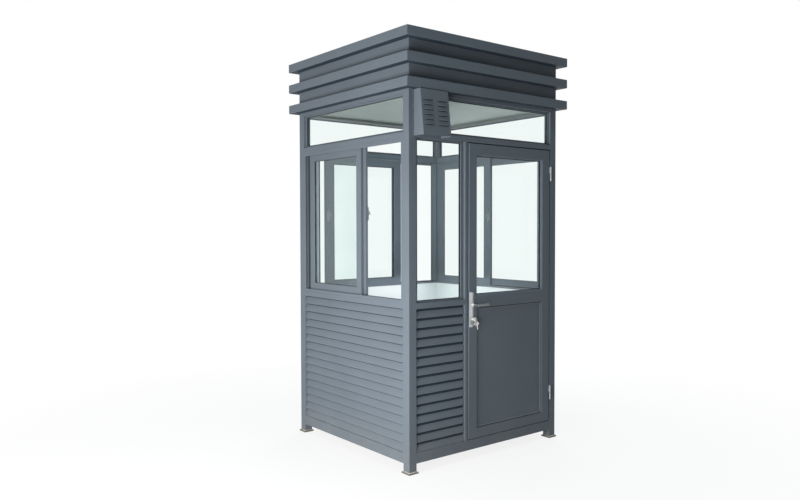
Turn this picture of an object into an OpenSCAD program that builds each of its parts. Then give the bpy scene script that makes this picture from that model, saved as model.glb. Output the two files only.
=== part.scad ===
// Security guard booth: a four-post aluminium cabin with louvred lower walls, sliding windows on
// three sides, a hinged half-glazed door beside a fixed window, and a banded box canopy.
// +X runs along the door wall, +Y runs from the door wall to the back, +Z is up. The origin is on
// the ground, at the middle of the whole outline.

/* [Body] */
// Width over the corner posts, along the door wall
body_w = 1350; // [1150:10:1800]
// Depth over the corner posts
body_d = 1280; // [1150:10:1800]
// Height from the ground to the underside of the canopy
wall_top_z = 2350; // [2250:5:2600]
// Side of a square corner post, which is also the depth of every wall
post_w = 58; // [45:1:70]
// Wall of a corner post's tube
post_wall = 3; // [2:0.5:5]

/* [Feet and floor] */
// Side of the plate under each post
foot_w = 76; // [66:1:110]
// Thickness of the plate under each post
foot_t = 10; // [6:1:14]
// Height of the base rails' underside above the ground
base_z = 60; // [40:1:90]
// Height of a base rail
base_h = 66; // [50:1:90]
// Thickness of the floor panel
floor_t = 18; // [12:1:24]
// Number of bearers under the floor
bearer_count = 3; // [2:1:5]
// Width of a floor bearer
bearer_w = 40; // [30:1:60]

/* [Rails] */
// Height of the sill rails' underside above the ground
sill_z = 1012; // [900:1:1100]
// Height of a sill rail
sill_h = 35; // [25:1:50]
// Height of the transom rails' underside above the ground
transom_z = 2060; // [1990:1:2100]
// Height of a transom rail
transom_h = 35; // [25:1:50]
// Height of the top rails
top_rail_h = 25; // [20:1:40]

/* [Door wall] */
// Clear width of the fixed bay between the left post and the mullion
bay_w = 407; // [300:1:500]
// Width of the mullion between the fixed bay and the door
mullion_w = 23; // [20:1:40]
// Width of the door stop behind the leaf's edge
stop_w = 15; // [12:1:20]
// Gap between the inner lock plate and the door stop behind it
stop_gap = 5; // [5:0.5:6]

/* [Door leaf] */
// Thickness of the leaf
leaf_t = 40; // [36:1:44]
// How far the leaf's face stands out from the wall's face
leaf_proud = 2; // [0:0.5:4]
// Gap between the leaf and the mullion
lock_gap = 6.5; // [6.5:0.5:9]
// Gap between the leaf and the hinge post, where the hinges sit
hinge_gap = 11.5; // [11:0.5:14]
// Gap under the leaf
leaf_bottom_gap = 5; // [5:1:10]
// Gap over the leaf
leaf_top_gap = 7; // [5:1:10]
// Width of the leaf's upright members
leaf_stile = 72; // [55:1:90]
// Height of the leaf's top member
leaf_top_rail = 68; // [50:1:90]
// Height of the leaf's bottom member
leaf_bottom_rail = 64; // [50:1:90]
// Height of the leaf's middle member
leaf_mid_rail = 79; // [50:1:100]
// Height of the middle member's underside above the ground
leaf_mid_z = 987; // [850:1:1050]
// Thickness of the flat panel in the lower half
panel_t = 12; // [8:1:16]

/* [Door hardware] */
// Radius of a hinge barrel
hinge_r = 7; // [6:0.5:9]
// Gap between a hinge barrel and the wall's face
hinge_stand = 1; // [0.5:0.5:3]
// Height of a whole hinge
hinge_h = 104; // [80:1:120]
// Running gap between the two halves of a hinge
hinge_split = 1; // [0.5:0.5:2]
// Height of the lower hinge's underside above the ground
low_hinge_z = 280; // [200:5:400]
// Height of the upper hinge's underside above the ground
high_hinge_z = 1838; // [1700:1:1900]
// Width of a lock plate
plate_w = 46; // [40:1:64]
// Height of a lock plate
plate_h = 226; // [200:1:260]
// Thickness of a lock plate
plate_t = 3; // [2:0.5:4]
// Distance from the leaf's edge to a lock plate
plate_inset = 1; // [0:0.5:5]
// Distance from the leaf's edge to the lever's spindle and the key cylinder
spindle_inset = 30; // [29:0.5:31]
// Height of the lock plates' underside above the ground
plate_z = 865; // [800:1:900]
// Height of the lever's spindle above the ground
lever_z = 1009; // [980:1:1050]
// Radius of the lever's neck and spindle
lever_r = 8; // [7:0.5:10]
// Distance from a lock plate out to the middle of the lever's arm
lever_out = 57; // [45:1:65]
// Length of the lever's arm from the spindle
lever_len = 96; // [80:1:130]
// Height of the key cylinder above the ground
cylinder_z = 915; // [890:1:950]
// Running clearance of the spindle and the hinge pins in their bores
pin_clear = 0.1; // [0.05:0.05:0.5]
// Height of the lever's arm
arm_h = 18; // [14:1:18]
// Thickness of the lever's arm
arm_t = 12; // [8:1:14]

/* [Windows] */
// Width of a window frame's face at its sides and bottom
frame_face = 20; // [16:1:28]
// Height of a window frame's face at its head
frame_head = 28; // [16:1:36]
// Thickness of a window frame's web behind its face
frame_web = 12; // [6:1:15]
// Thickness of a window frame's face
frame_lip = 6; // [3:1:10]
// Running gap above and beside a sash, which rests on the frame below it
sash_gap = 2; // [1:0.5:3]
// Width of a sash's upright members in the back and right walls
sash_stile = 66; // [45:1:75]
// Width of a sash's upright members in the left wall
left_stile = 54; // [45:1:75]
// Height of a sash's top and bottom members
sash_rail = 52; // [40:1:75]
// Thickness of a sash
sash_t = 18; // [14:1:20]
// Distance from the wall's face in to the outer sash
sash_in = 20; // [12:1:22]
// Gap between the outer and inner sash
sash_pass = 2; // [1:0.5:3]
// How far the right wall's two sashes lap when they are closed
right_lap = 78; // [60:1:120]
// How far the left wall's two sashes lap when they are closed
left_lap = 140; // [60:1:200]
// How far the two back-wall sashes lap when they are closed
back_lap = 202; // [60:1:260]
// How far the left wall's outer sash stands back from the front end of its run
left_outer_open = 458; // [0:1:490]
// How far the left wall's inner sash stands back from the front end of its run
left_inner_open = 431; // [0:1:490]
// How far the back wall's two sashes stand in from the left end of their run
back_open = 129; // [0:1:400]
// Thickness of the glass
glass_t = 5; // [4:0.5:8]
// How deep the glass sits in its groove
glass_bite = 6; // [4:0.5:8]
// Width of the fixed glazing frames in the door wall and the clerestory
bead_w = 22; // [12:1:30]
// Height of the clerestory's glazing frame members
clerestory_bead = 10; // [8:1:16]
// Distance from the wall's face in to a fixed glazing frame
bead_in = 18; // [10:1:20]
// Depth of a fixed glazing frame
bead_t = 24; // [16:1:30]
// Height of the window catches above the ground
catch_z = 1600; // [1400:10:1800]

/* [Cladding] */
// Number of louvre boards in the door wall and the back wall
front_board_count = 15; // [10:1:20]
// Number of louvre boards in each side wall
side_board_count = 16; // [10:1:20]
// Distance from the wall's face in to the lip of a board
board_lip_in = 6; // [3:1:10]
// Distance from the wall's face in to the top of a board
board_top_in = 27; // [18:1:34]
// Height of a board's upright lip
board_lip_h = 7; // [4:1:12]
// How far a board's lip hangs below the board under it
board_drip = 6; // [3:1:10]
// Thickness of a wall's cladding behind its deepest groove
cladding_back = 4; // [2:1:8]
// Thickness of the inner lining
lining_t = 6; // [4:1:10]

/* [Canopy] */
// How far a band stands out from the wall's face
band_out = 56; // [30:1:90]
// Height of a band
band_h = 59; // [40:1:80]
// Height from one band to the next
band_pitch = 150; // [110:1:180]
// Thickness of the fascia behind the bands
fascia_t = 30; // [15:1:40]
// Thickness of the roof deck
roof_t = 18; // [10:1:25]
// Height of the upper band's edge above the roof deck
roof_rim = 10; // [5:1:25]
// Thickness of the ceiling panel
ceiling_t = 12; // [8:1:16]
// Height of the trim strip that carries the ceiling
cornice_h = 20; // [14:1:30]
// Width of the trim strip that carries the ceiling
cornice_w = 15; // [10:1:25]

/* [Vent hood] */
// Distance from the body's left side to the hood
hood_x = 38; // [0:1:80]
// Width of the hood
hood_w = 222; // [160:1:300]
// Gap between the top of the hood and the lower band
hood_drop = 4; // [0:1:20]
// Height of the hood
hood_h = 280; // [200:1:340]
// How far the hood stands out at its top
hood_top_out = 63; // [45:1:80]
// How far the hood stands out at its open bottom
hood_bottom_out = 95; // [82:1:130]
// Thickness of the hood's sheet
hood_wall = 2; // [1.5:0.5:4]
// Number of slots down the hood
slot_rows = 6; // [4:1:8]
// Height from one slot to the next
slot_pitch = 30; // [24:1:36]
// Length of a slot
slot_len = 78; // [50:1:90]
// Height of a slot
slot_h = 8; // [4:1:14]

/* [Hidden] */
$fn = 48;

metal = [0.44, 0.48, 0.53];
glass_tint = [0.80, 0.90, 0.88, 0.4];
white = [0.93, 0.94, 0.93];
steel = [0.75, 0.75, 0.74];
eps = 1;

// The hood reaches further forward than the bands reach back, so the body sits a little behind
// the middle of the whole outline.
left_x = -body_w / 2;
right_x = body_w / 2;
front_y = (hood_bottom_out - band_out - body_d) / 2;
back_y = front_y + body_d;

base_top = base_z + base_h;
sill_top = sill_z + sill_h;
transom_top = transom_z + transom_h;
top_rail_z = wall_top_z - top_rail_h;
top_band_z = wall_top_z + 2 * band_pitch;
canopy_top = top_band_z + band_h;
roof_z = canopy_top - roof_rim - roof_t;

// Distances along the door wall, from the body's left side
mullion_x = post_w + bay_w;
door_x = mullion_x + mullion_w;
door_end = body_w - post_w;
leaf_x = door_x + lock_gap;
leaf_end = door_end - hinge_gap;
leaf_z = base_top + leaf_bottom_gap;
leaf_top = transom_z - leaf_top_gap;
leaf_out = -leaf_proud;
leaf_in = leaf_t - leaf_proud;
hinge_x = (leaf_end + door_end) / 2;
hinge_out = hinge_r + hinge_stand;
lever_x = leaf_x + spindle_inset;
plate_x = [leaf_x + plate_inset, leaf_x + plate_inset + plate_w];

// Each wall has its own frame: x runs along it to the right as seen from outside, y runs inward
// from its outer face and z is up.
WALLS = ["front", "right", "back", "left"];
function wall_len(side) = side == "front" || side == "back" ? body_w : body_d;
module on_wall(side) {
    if (side == "front") translate([left_x, front_y, 0]) children();
    if (side == "right") translate([right_x, front_y, 0]) rotate([0, 0, 90]) children();
    if (side == "back") translate([right_x, back_y, 0]) rotate([0, 0, 180]) children();
    if (side == "left") translate([left_x, back_y, 0]) rotate([0, 0, -90]) children();
}

// A box between two limits on each axis of a wall's frame
module slab(x, y, z) {
    translate([x[0], y[0], z[0]]) cube([x[1] - x[0], y[1] - y[0], z[1] - z[0]]);
}

// A rectangular ring in a wall's plane, with its own width at the sides, bottom and head
module ring(x, y, z, side, bottom, head) {
    difference() {
        slab(x, y, z);
        slab([x[0] + side, x[1] - side], [y[0] - eps, y[1] + eps], [z[0] + bottom, z[1] - head]);
    }
}

// A level ring that runs round the body, between two outlines measured out from the wall faces
module level_ring(outer, inner, z, height) {
    translate([0, front_y + body_d / 2, z]) linear_extrude(height) difference() {
        square([body_w + 2 * outer, body_d + 2 * outer], center = true);
        square([body_w + 2 * inner, body_d + 2 * inner], center = true);
    }
}

// A level plate between the wall faces, moved out or in by one distance all round
module level_plate(reach, z, height) {
    translate([0, front_y + body_d / 2, z + height / 2])
        cube([body_w + 2 * reach, body_d + 2 * reach, height], center = true);
}

// ---- Posts, feet and floor ----
module post(x, y) {
    color(metal) translate([x, y, foot_t]) difference() {
        cube([post_w, post_w, wall_top_z - foot_t]);
        translate([post_wall, post_wall, -eps])
            cube([post_w - 2 * post_wall, post_w - 2 * post_wall, wall_top_z]);
    }
}
module front_left_post() { post(left_x, front_y); }
module front_right_post() { post(right_x - post_w, front_y); }
module back_left_post() { post(left_x, back_y - post_w); }
module back_right_post() { post(right_x - post_w, back_y - post_w); }

module foot_plates() {
    color(steel)
        for (x = [left_x + post_w / 2, right_x - post_w / 2], y = [front_y + post_w / 2, back_y - post_w / 2])
            translate([x, y, foot_t / 2]) cube([foot_w, foot_w, foot_t], center = true);
}

module wall_rails(z, height) {
    color(metal) for (side = WALLS) on_wall(side)
        slab([post_w, wall_len(side) - post_w], [0, post_w], [z, z + height]);
}
module base_rails() { wall_rails(base_z, base_h); }

module floor_bearers() {
    inner_w = body_w - 2 * post_w;
    color(steel) for (i = [1 : bearer_count])
        translate([left_x + post_w + inner_w * i / (bearer_count + 1) - bearer_w / 2,
                   front_y + post_w, base_z])
            cube([bearer_w, body_d - 2 * post_w, base_h - floor_t]);
}
module floor_panel() { color([0.55, 0.56, 0.57]) level_plate(-post_w, base_top - floor_t, floor_t); }

// ---- Rails ----
module sill_rails() {
    color(metal) for (side = WALLS) on_wall(side)
        slab([post_w, side == "front" ? mullion_x : wall_len(side) - post_w], [0, post_w], [sill_z, sill_top]);
}
module transom_rails() { wall_rails(transom_z, transom_h); }
module top_rails() { wall_rails(top_rail_z, top_rail_h); }
module front_mullion() {
    color(metal) on_wall("front") slab([mullion_x, door_x], [0, post_w], [base_top, transom_z]);
}

// ---- Louvred cladding and lining ----
// A board slopes out and down from its top to an upright lip, and hangs over the board below it.
module louvres(side, x_end, count) {
    pitch = (sill_z - base_top) / count;
    back = board_top_in + cladding_back;
    boards = [for (i = [0 : count - 1]) let (z = base_top + i * pitch) each [
        [board_top_in, z + board_drip], [board_lip_in, z], [board_lip_in, z + board_lip_h]]];
    frame = [[board_top_in, sill_z], [back, sill_z], [back, base_top], [board_top_in, base_top]];
    color(metal) on_wall(side) translate([post_w, 0, 0])
        rotate([90, 0, 90]) linear_extrude(x_end - post_w) polygon(concat(boards, frame));
}
module front_louvres() { louvres("front", mullion_x, front_board_count); }
module left_louvres() { louvres("left", body_d - post_w, side_board_count); }
module back_louvres() { louvres("back", body_w - post_w, front_board_count); }
module right_louvres() { louvres("right", body_d - post_w, side_board_count); }

// The front and back linings run between the side ones.
module lining(side, start, end) {
    color(white) on_wall(side) slab([start, end], [post_w, post_w + lining_t], [base_top, sill_top]);
}
module front_lining() { lining("front", post_w + lining_t, door_x); }
module left_lining() { lining("left", post_w, body_d - post_w); }
module back_lining() { lining("back", post_w + lining_t, body_w - post_w - lining_t); }
module right_lining() { lining("right", post_w, body_d - post_w); }

// ---- Fixed windows ----
// A frame with a groove for its glass, and the glass that fills the groove
module glazed_ring(x, y, z, side, rail) {
    difference() {
        ring(x, y, z, side, rail, rail);
        pane(x, y, z, side, rail);
    }
}
module pane(x, y, z, side, rail) {
    middle = (y[0] + y[1]) / 2;
    slab([x[0] + side - glass_bite, x[1] - side + glass_bite], [middle - glass_t / 2, middle + glass_t / 2],
         [z[0] + rail - glass_bite, z[1] - rail + glass_bite]);
}
bead_y = [bead_in, bead_in + bead_t];
module front_window_frame() {
    color(metal) on_wall("front")
        glazed_ring([post_w, mullion_x], bead_y, [sill_top, transom_z], bead_w, clerestory_bead);
}
module front_window_glass() {
    color(glass_tint) on_wall("front")
        pane([post_w, mullion_x], bead_y, [sill_top, transom_z], bead_w, clerestory_bead);
}
module clerestory_frames() {
    color(metal) for (side = WALLS) on_wall(side)
        glazed_ring([post_w, wall_len(side) - post_w], bead_y, [transom_top, top_rail_z],
                    clerestory_bead, clerestory_bead);
}
module clerestory_glass() {
    color(glass_tint) for (side = WALLS) on_wall(side)
        pane([post_w, wall_len(side) - post_w], bead_y, [transom_top, top_rail_z],
             clerestory_bead, clerestory_bead);
}

// ---- Sliding windows ----
// The frame's face hides the edges of the sashes, which run behind it.
module window_frame(side) {
    x = [post_w, wall_len(side) - post_w];
    color(metal) on_wall(side) {
        ring(x, [0, frame_lip], [sill_top, transom_z], frame_face, frame_face, frame_head);
        ring(x, [frame_lip - eps, post_w], [sill_top, transom_z], frame_web, frame_web, frame_web);
    }
}

// The left and back walls' sashes stand nearly one behind the other, part way along their run. The
// right wall's are closed, the inner one at the back end.
jamb = post_w + frame_web + sash_gap;
function run(side) = wall_len(side) - 2 * jamb;
function lap(side) = side == "left" ? left_lap : side == "back" ? back_lap : right_lap;
function stile(side) = side == "left" ? left_stile : sash_stile;
function sash_w(side) = (run(side) + lap(side)) / 2;
function outer_offset(side) = side == "left" ? left_outer_open : side == "back" ? back_open : run(side) - sash_w(side);
function inner_offset(side) = side == "left" ? left_inner_open : side == "back" ? back_open : 0;
function sash_x(side, offset) = let (end = wall_len(side) - jamb - offset) [end - sash_w(side), end];
outer_sash_y = [sash_in, sash_in + sash_t];
inner_sash_y = [outer_sash_y[1] + sash_pass, outer_sash_y[1] + sash_pass + sash_t];
sash_z = [sill_top + frame_web, transom_z - frame_web - sash_gap];

module outer_sash(side) {
    color(metal) on_wall(side)
        glazed_ring(sash_x(side, outer_offset(side)), outer_sash_y, sash_z, stile(side), sash_rail);
}
module inner_sash(side) {
    color(metal) on_wall(side)
        glazed_ring(sash_x(side, inner_offset(side)), inner_sash_y, sash_z, stile(side), sash_rail);
}
module sash_glass(side) {
    color(glass_tint) on_wall(side) {
        pane(sash_x(side, outer_offset(side)), outer_sash_y, sash_z, stile(side), sash_rail);
        pane(sash_x(side, inner_offset(side)), inner_sash_y, sash_z, stile(side), sash_rail);
    }
}
module left_window_frame() { window_frame("left"); }
module left_outer_sash() { outer_sash("left"); }
module left_inner_sash() { inner_sash("left"); }
module left_window_glass() { sash_glass("left"); }
module back_window_frame() { window_frame("back"); }
module back_outer_sash() { outer_sash("back"); }
module back_inner_sash() { inner_sash("back"); }
module back_window_glass() { sash_glass("back"); }
module right_window_frame() { window_frame("right"); }
module right_outer_sash() { outer_sash("right"); }
module right_inner_sash() { inner_sash("right"); }
module right_window_glass() { sash_glass("right"); }

// A crescent catch on the meeting stile of each inner sash, on the room side
catch_inset = 12;
module window_catch(x) {
    base = [22, 8, 84];
    crescent_r = 22;
    crescent_t = 6;
    translate([x, inner_sash_y[1], catch_z]) {
        translate([-base[0] / 2, 0, -base[2] / 2]) cube(base);
        rotate([-90, 0, 0]) cylinder(r = crescent_r, h = base[1] + crescent_t);
    }
}
module window_catches() {
    color(steel) {
        for (side = ["left", "back"]) on_wall(side)
            window_catch(sash_x(side, inner_offset(side))[1] - catch_inset);
        on_wall("right") window_catch(sash_x("right", inner_offset("right"))[0] + catch_inset);
    }
}

// ---- Door ----
module door_stops() {
    y = [leaf_in + plate_t + stop_gap, post_w];
    color(metal) on_wall("front") difference() {
        slab([door_x, door_end], y, [base_top, transom_z]);
        slab([door_x + stop_w, door_end - stop_w], [0, body_d], [base_top - eps, transom_z - stop_w]);
    }
}

leaf_span = [leaf_x, leaf_end];
leaf_depth = [leaf_out, leaf_in];
light_z = [leaf_mid_z + leaf_mid_rail, leaf_top - leaf_top_rail];
panel_z = [leaf_z + leaf_bottom_rail, leaf_mid_z];
module leaf_fill(z, thickness) {
    middle = (leaf_out + leaf_in) / 2;
    slab([leaf_x + leaf_stile - glass_bite, leaf_end - leaf_stile + glass_bite],
         [middle - thickness / 2, middle + thickness / 2], [z[0] - glass_bite, z[1] + glass_bite]);
}
module door_leaf_frame() {
    color(metal) on_wall("front") difference() {
        slab(leaf_span, leaf_depth, [leaf_z, leaf_top]);
        for (z = [light_z, panel_z])
            slab([leaf_x + leaf_stile, leaf_end - leaf_stile], [leaf_out - eps, leaf_in + eps], z);
        leaf_fill(light_z, glass_t);
        leaf_fill(panel_z, panel_t);
        lock_bore(lever_z, lever_r + pin_clear);
    }
}
module door_glass() { color(glass_tint) on_wall("front") leaf_fill(light_z, glass_t); }
module door_panel() { color(metal) on_wall("front") leaf_fill(panel_z, panel_t); }

// A bore through the lock stile and both lock plates
module lock_bore(z, radius) {
    translate([lever_x, leaf_out - plate_t - eps, z]) rotate([-90, 0, 0])
        cylinder(r = radius, h = leaf_t + 2 * (plate_t + eps));
}

// Lift-off hinges: the lower half of each is welded to the post and carries the pin.
hinge_half = (hinge_h - hinge_split) / 2;
hinge_pin_r = hinge_r / 2;
hinge_pin_h = hinge_half - 8;
hinge_flag_t = 4;
module hinge_cylinder(radius, z, height) {
    translate([hinge_x, -hinge_out, z]) cylinder(r = radius, h = height);
}
module post_hinge_halves() {
    color(steel) on_wall("front") for (z = [low_hinge_z, high_hinge_z]) {
        hinge_cylinder(hinge_r, z, hinge_half);
        hinge_cylinder(hinge_pin_r, z, hinge_half + hinge_pin_h);
        slab([hinge_x, door_end + hinge_r], [-hinge_flag_t, 0], [z, z + hinge_half]);
    }
}
module door_hinge_halves() {
    color(steel) on_wall("front")
        for (z = [low_hinge_z + hinge_half + hinge_split, high_hinge_z + hinge_half + hinge_split])
            difference() {
                union() {
                    hinge_cylinder(hinge_r, z, hinge_half);
                    slab([leaf_end - hinge_r, hinge_x], [leaf_out - hinge_flag_t, leaf_out], [z, z + hinge_half]);
                }
                hinge_cylinder(hinge_pin_r + pin_clear, z - eps, hinge_pin_h + 2 * eps);
            }
}

module lock_plates() {
    color(steel) on_wall("front") difference() {
        for (y = [leaf_out - plate_t, leaf_in])
            slab(plate_x, [y, y + plate_t], [plate_z, plate_z + plate_h]);
        lock_bore(lever_z, lever_r + pin_clear);
    }
}

// One spindle joins the outer and the inner arm, which both point at the hinges.
module lever_arm(y) {
    end_r = arm_h / 2;
    slab([lever_x, lever_x + lever_len - end_r], [y, y + arm_t], [lever_z - end_r, lever_z + end_r]);
    for (x = [lever_x, lever_x + lever_len - end_r])
        translate([x, y, lever_z]) rotate([-90, 0, 0]) cylinder(r = end_r, h = arm_t);
}
module door_lever() {
    outer_y = leaf_out - plate_t - lever_out - arm_t / 2;
    inner_y = leaf_in + plate_t + lever_out - arm_t / 2;
    color(steel) on_wall("front") {
        translate([lever_x, outer_y + eps, lever_z]) rotate([-90, 0, 0])
            cylinder(r = lever_r, h = inner_y - outer_y);
        lever_arm(outer_y);
        lever_arm(inner_y);
    }
}

// The key cylinder's nose with its key, and a round tag and a second key that hang from its bow
module lock_keys() {
    nose_r = 9;
    nose_h = 4;
    key_t = 2.5;
    blade_w = 8;
    blade_len = 12;
    bow_r = 12;
    tag_r = 14;
    hanging_len = 38;
    nose_y = leaf_out - plate_t - nose_h;
    bow_y = nose_y - blade_len - bow_r;
    tag_z = cylinder_z - bow_r - tag_r;
    key_z = tag_z - tag_r;
    color(steel) on_wall("front") {
        translate([lever_x, nose_y, cylinder_z]) rotate([-90, 0, 0]) cylinder(r = nose_r, h = nose_h);
        translate([lever_x - key_t / 2, 0, 0]) {
            slab([0, key_t], [bow_y, nose_y], [cylinder_z - blade_w / 2, cylinder_z + blade_w / 2]);
            translate([0, bow_y, cylinder_z]) rotate([0, 90, 0]) cylinder(r = bow_r, h = key_t);
            translate([key_t, bow_y, tag_z]) rotate([0, 90, 0]) cylinder(r = tag_r, h = key_t);
            slab([0, 2 * key_t], [bow_y - blade_w / 2, bow_y + blade_w / 2],
                 [cylinder_z - bow_r - blade_w / 2, cylinder_z - bow_r + blade_w / 2]);
            slab([0, key_t], [bow_y - blade_w / 2, bow_y + blade_w / 2], [key_z - hanging_len, key_z + blade_w]);
        }
    }
}

// ---- Ceiling and canopy ----
module ceiling_panel() { color(white) level_plate(-post_w, wall_top_z - ceiling_t, ceiling_t); }
module cornice_trim() {
    color(white) level_ring(-post_w, -post_w - cornice_w, wall_top_z - ceiling_t - cornice_h, cornice_h);
}
module canopy_fascia() { color(metal) level_ring(0, -fascia_t, wall_top_z, roof_z - wall_top_z); }
module band(index) { color(metal) level_ring(band_out, 0, wall_top_z + index * band_pitch, band_h); }
module lower_band() { band(0); }
module middle_band() { band(1); }
module upper_band() { band(2); }
module roof_deck() { color(metal) level_plate(0, roof_z, roof_t); }

// ---- Vent hood ----
// A wedge of folded sheet, open underneath, with two columns of slots in its sloping face
hood_z = wall_top_z - hood_drop - hood_h;
hood_slope = (hood_bottom_out - hood_top_out) / hood_h;
function hood_out(z) = hood_bottom_out - hood_slope * z;
module hood_wedge(width, wall, low, high) {
    rotate([90, 0, 90]) linear_extrude(width) polygon([
        [-wall, low], [-wall, high], [wall - hood_out(high), high], [wall - hood_out(low), low]]);
}
module vent_hood() {
    first_slot = (hood_h - (slot_rows - 1) * slot_pitch - slot_h) / 2;
    color(metal) on_wall("front") translate([hood_x, 0, hood_z]) difference() {
        hood_wedge(hood_w, 0, 0, hood_h);
        translate([hood_wall, 0, 0])
            hood_wedge(hood_w - 2 * hood_wall, hood_wall, -eps, hood_h - hood_wall);
        for (x = [hood_w / 4, hood_w * 3 / 4], row = [0 : slot_rows - 1])
            translate([x, -hood_bottom_out, 0]) rotate([-atan(hood_slope), 0, 0])
                translate([0, 0, first_slot + row * slot_pitch + slot_h / 2])
                    cube([slot_len, 4 * hood_wall, slot_h], center = true);
    }
}

front_left_post();
front_right_post();
back_left_post();
back_right_post();
foot_plates();
base_rails();
floor_bearers();
floor_panel();
sill_rails();
transom_rails();
top_rails();
front_mullion();
front_louvres();
left_louvres();
back_louvres();
right_louvres();
front_lining();
left_lining();
back_lining();
right_lining();
front_window_frame();
front_window_glass();
left_window_frame();
left_outer_sash();
left_inner_sash();
left_window_glass();
back_window_frame();
back_outer_sash();
back_inner_sash();
back_window_glass();
right_window_frame();
right_outer_sash();
right_inner_sash();
right_window_glass();
window_catches();
clerestory_frames();
clerestory_glass();
door_stops();
door_leaf_frame();
door_glass();
door_panel();
post_hinge_halves();
door_hinge_halves();
lock_plates();
door_lever();
lock_keys();
ceiling_panel();
cornice_trim();
canopy_fascia();
lower_band();
middle_band();
upper_band();
roof_deck();
vent_hood();
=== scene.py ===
# %% [markdown]
# # Security guard booth
# This lesson finishes a guard booth: a square-post aluminium cabin with louvred lower walls, sliding
# windows, a half-glazed door and a banded canopy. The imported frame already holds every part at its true
# size and place, and each part belongs to a body: the booth itself, the door or the lever. The steps
# below give the parts rolled edges, folded sheet, seals, fixings and finishes. Every size comes from the
# frame's own boxes, so a new piece always meets the part that it belongs to.

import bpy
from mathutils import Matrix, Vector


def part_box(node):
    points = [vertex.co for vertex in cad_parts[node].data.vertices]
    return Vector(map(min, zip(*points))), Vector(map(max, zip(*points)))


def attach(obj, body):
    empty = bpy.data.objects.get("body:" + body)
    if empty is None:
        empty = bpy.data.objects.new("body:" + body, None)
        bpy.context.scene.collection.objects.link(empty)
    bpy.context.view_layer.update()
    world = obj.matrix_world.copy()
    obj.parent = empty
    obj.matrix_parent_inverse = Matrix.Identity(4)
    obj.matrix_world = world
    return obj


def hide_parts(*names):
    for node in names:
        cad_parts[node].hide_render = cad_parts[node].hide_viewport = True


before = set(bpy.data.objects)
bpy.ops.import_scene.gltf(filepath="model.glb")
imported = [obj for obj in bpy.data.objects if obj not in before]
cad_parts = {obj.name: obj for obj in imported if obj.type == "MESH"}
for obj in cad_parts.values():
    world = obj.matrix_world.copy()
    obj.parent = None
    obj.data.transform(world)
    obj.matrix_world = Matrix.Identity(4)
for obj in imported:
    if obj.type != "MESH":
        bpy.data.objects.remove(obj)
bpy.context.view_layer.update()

# %% Tools used throughout
from contextlib import contextmanager
from math import atan2, cos, pi, radians, sin

import bmesh
import bpy
from mathutils import Matrix, Vector

mm = 0.001
scene = bpy.context.scene
print("lengths are in metres, and mm is", mm)

# %% [markdown]
# ## Measuring the walls
# The booth has four walls, and each is easiest to think about face on: x runs along the wall to the
# right as seen from outside, y runs inward from its outer face, and z is up. One matrix for each wall
# turns and moves that simple frame to the wall's real place. Measuring a part in its own wall's frame
# gives plain numbers, and a window that is drawn once can then stand in any wall.

# %% Wall frames
near_low, near_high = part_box("front_left_post")
far_low, far_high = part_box("back_right_post")
left_x, front_y = near_low.x, near_low.y
right_x, back_y = far_high.x, far_high.y
post_w = near_high.x - near_low.x
wall_top = near_high.z

def wall_frame(x, y, degrees):
    return Matrix.Translation((x, y, 0)) @ Matrix.Rotation(radians(degrees), 4, "Z")

WALLS = {
    "front": wall_frame(left_x, front_y, 0),
    "right": wall_frame(right_x, front_y, 90),
    "back": wall_frame(right_x, back_y, 180),
    "left": wall_frame(left_x, back_y, -90),
}
WALL_LENGTH = {"front": right_x - left_x, "back": right_x - left_x,
               "left": back_y - front_y, "right": back_y - front_y}

def on_wall(side, part):
    """The lowest and highest corner of a part, in its wall's own frame."""
    ends = [WALLS[side].inverted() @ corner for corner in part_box(part)]
    return Vector(map(min, *ends)), Vector(map(max, *ends))

print("body", round(right_x - left_x, 3), "by", round(back_y - front_y, 3), "post", round(post_w, 3))

# %% [markdown]
# ## Camera
# The camera stands at the near left corner, at standing eye height, and looks at the booth almost
# level. A small downward tilt and a trace of roll are what a hand-held camera gives.

# %% Camera
def add_camera(place, heading, pitch, roll, lens):
    bpy.ops.object.camera_add(location=place)
    camera = bpy.context.object
    camera.name = "camera"
    camera.data.lens = lens
    camera.data.sensor_width = 36
    camera.data.clip_end = 200
    turn = Matrix.Rotation(-heading, 4, "Z") @ Matrix.Rotation(radians(90) + pitch, 4, "X")
    camera.matrix_world = Matrix.Translation(place) @ turn @ Matrix.Rotation(roll, 4, "Z")
    scene.camera = camera
    return camera

aside, in_front, eye_height = 2.8003, 3.4610, 1.5084
heading, tilt, roll, lens_mm = radians(38.2755), radians(-1.71), radians(-0.12), 33.164
camera = add_camera((left_x - aside, front_y - in_front, eye_height), heading, tilt, roll, lens_mm)
print("camera at", [round(v, 3) for v in camera.location])

# %% [markdown]
# ## Hand tools
# Blender's operators act on whatever is selected, so each tool below first selects just what it needs.
# `editing` opens one piece in edit mode and always closes it again. `choose` selects the corners, edges
# or faces whose place passes a test, which is how a script points at a part of a mesh.

# %% Selecting
def only(piece):
    bpy.ops.object.select_all(action="DESELECT")
    piece.select_set(True)
    bpy.context.view_layer.objects.active = piece

@contextmanager
def editing(piece):
    only(piece)
    bpy.ops.object.mode_set(mode="EDIT")
    bpy.ops.mesh.select_all(action="SELECT")
    yield piece
    bpy.ops.object.mode_set(mode="OBJECT")

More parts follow.
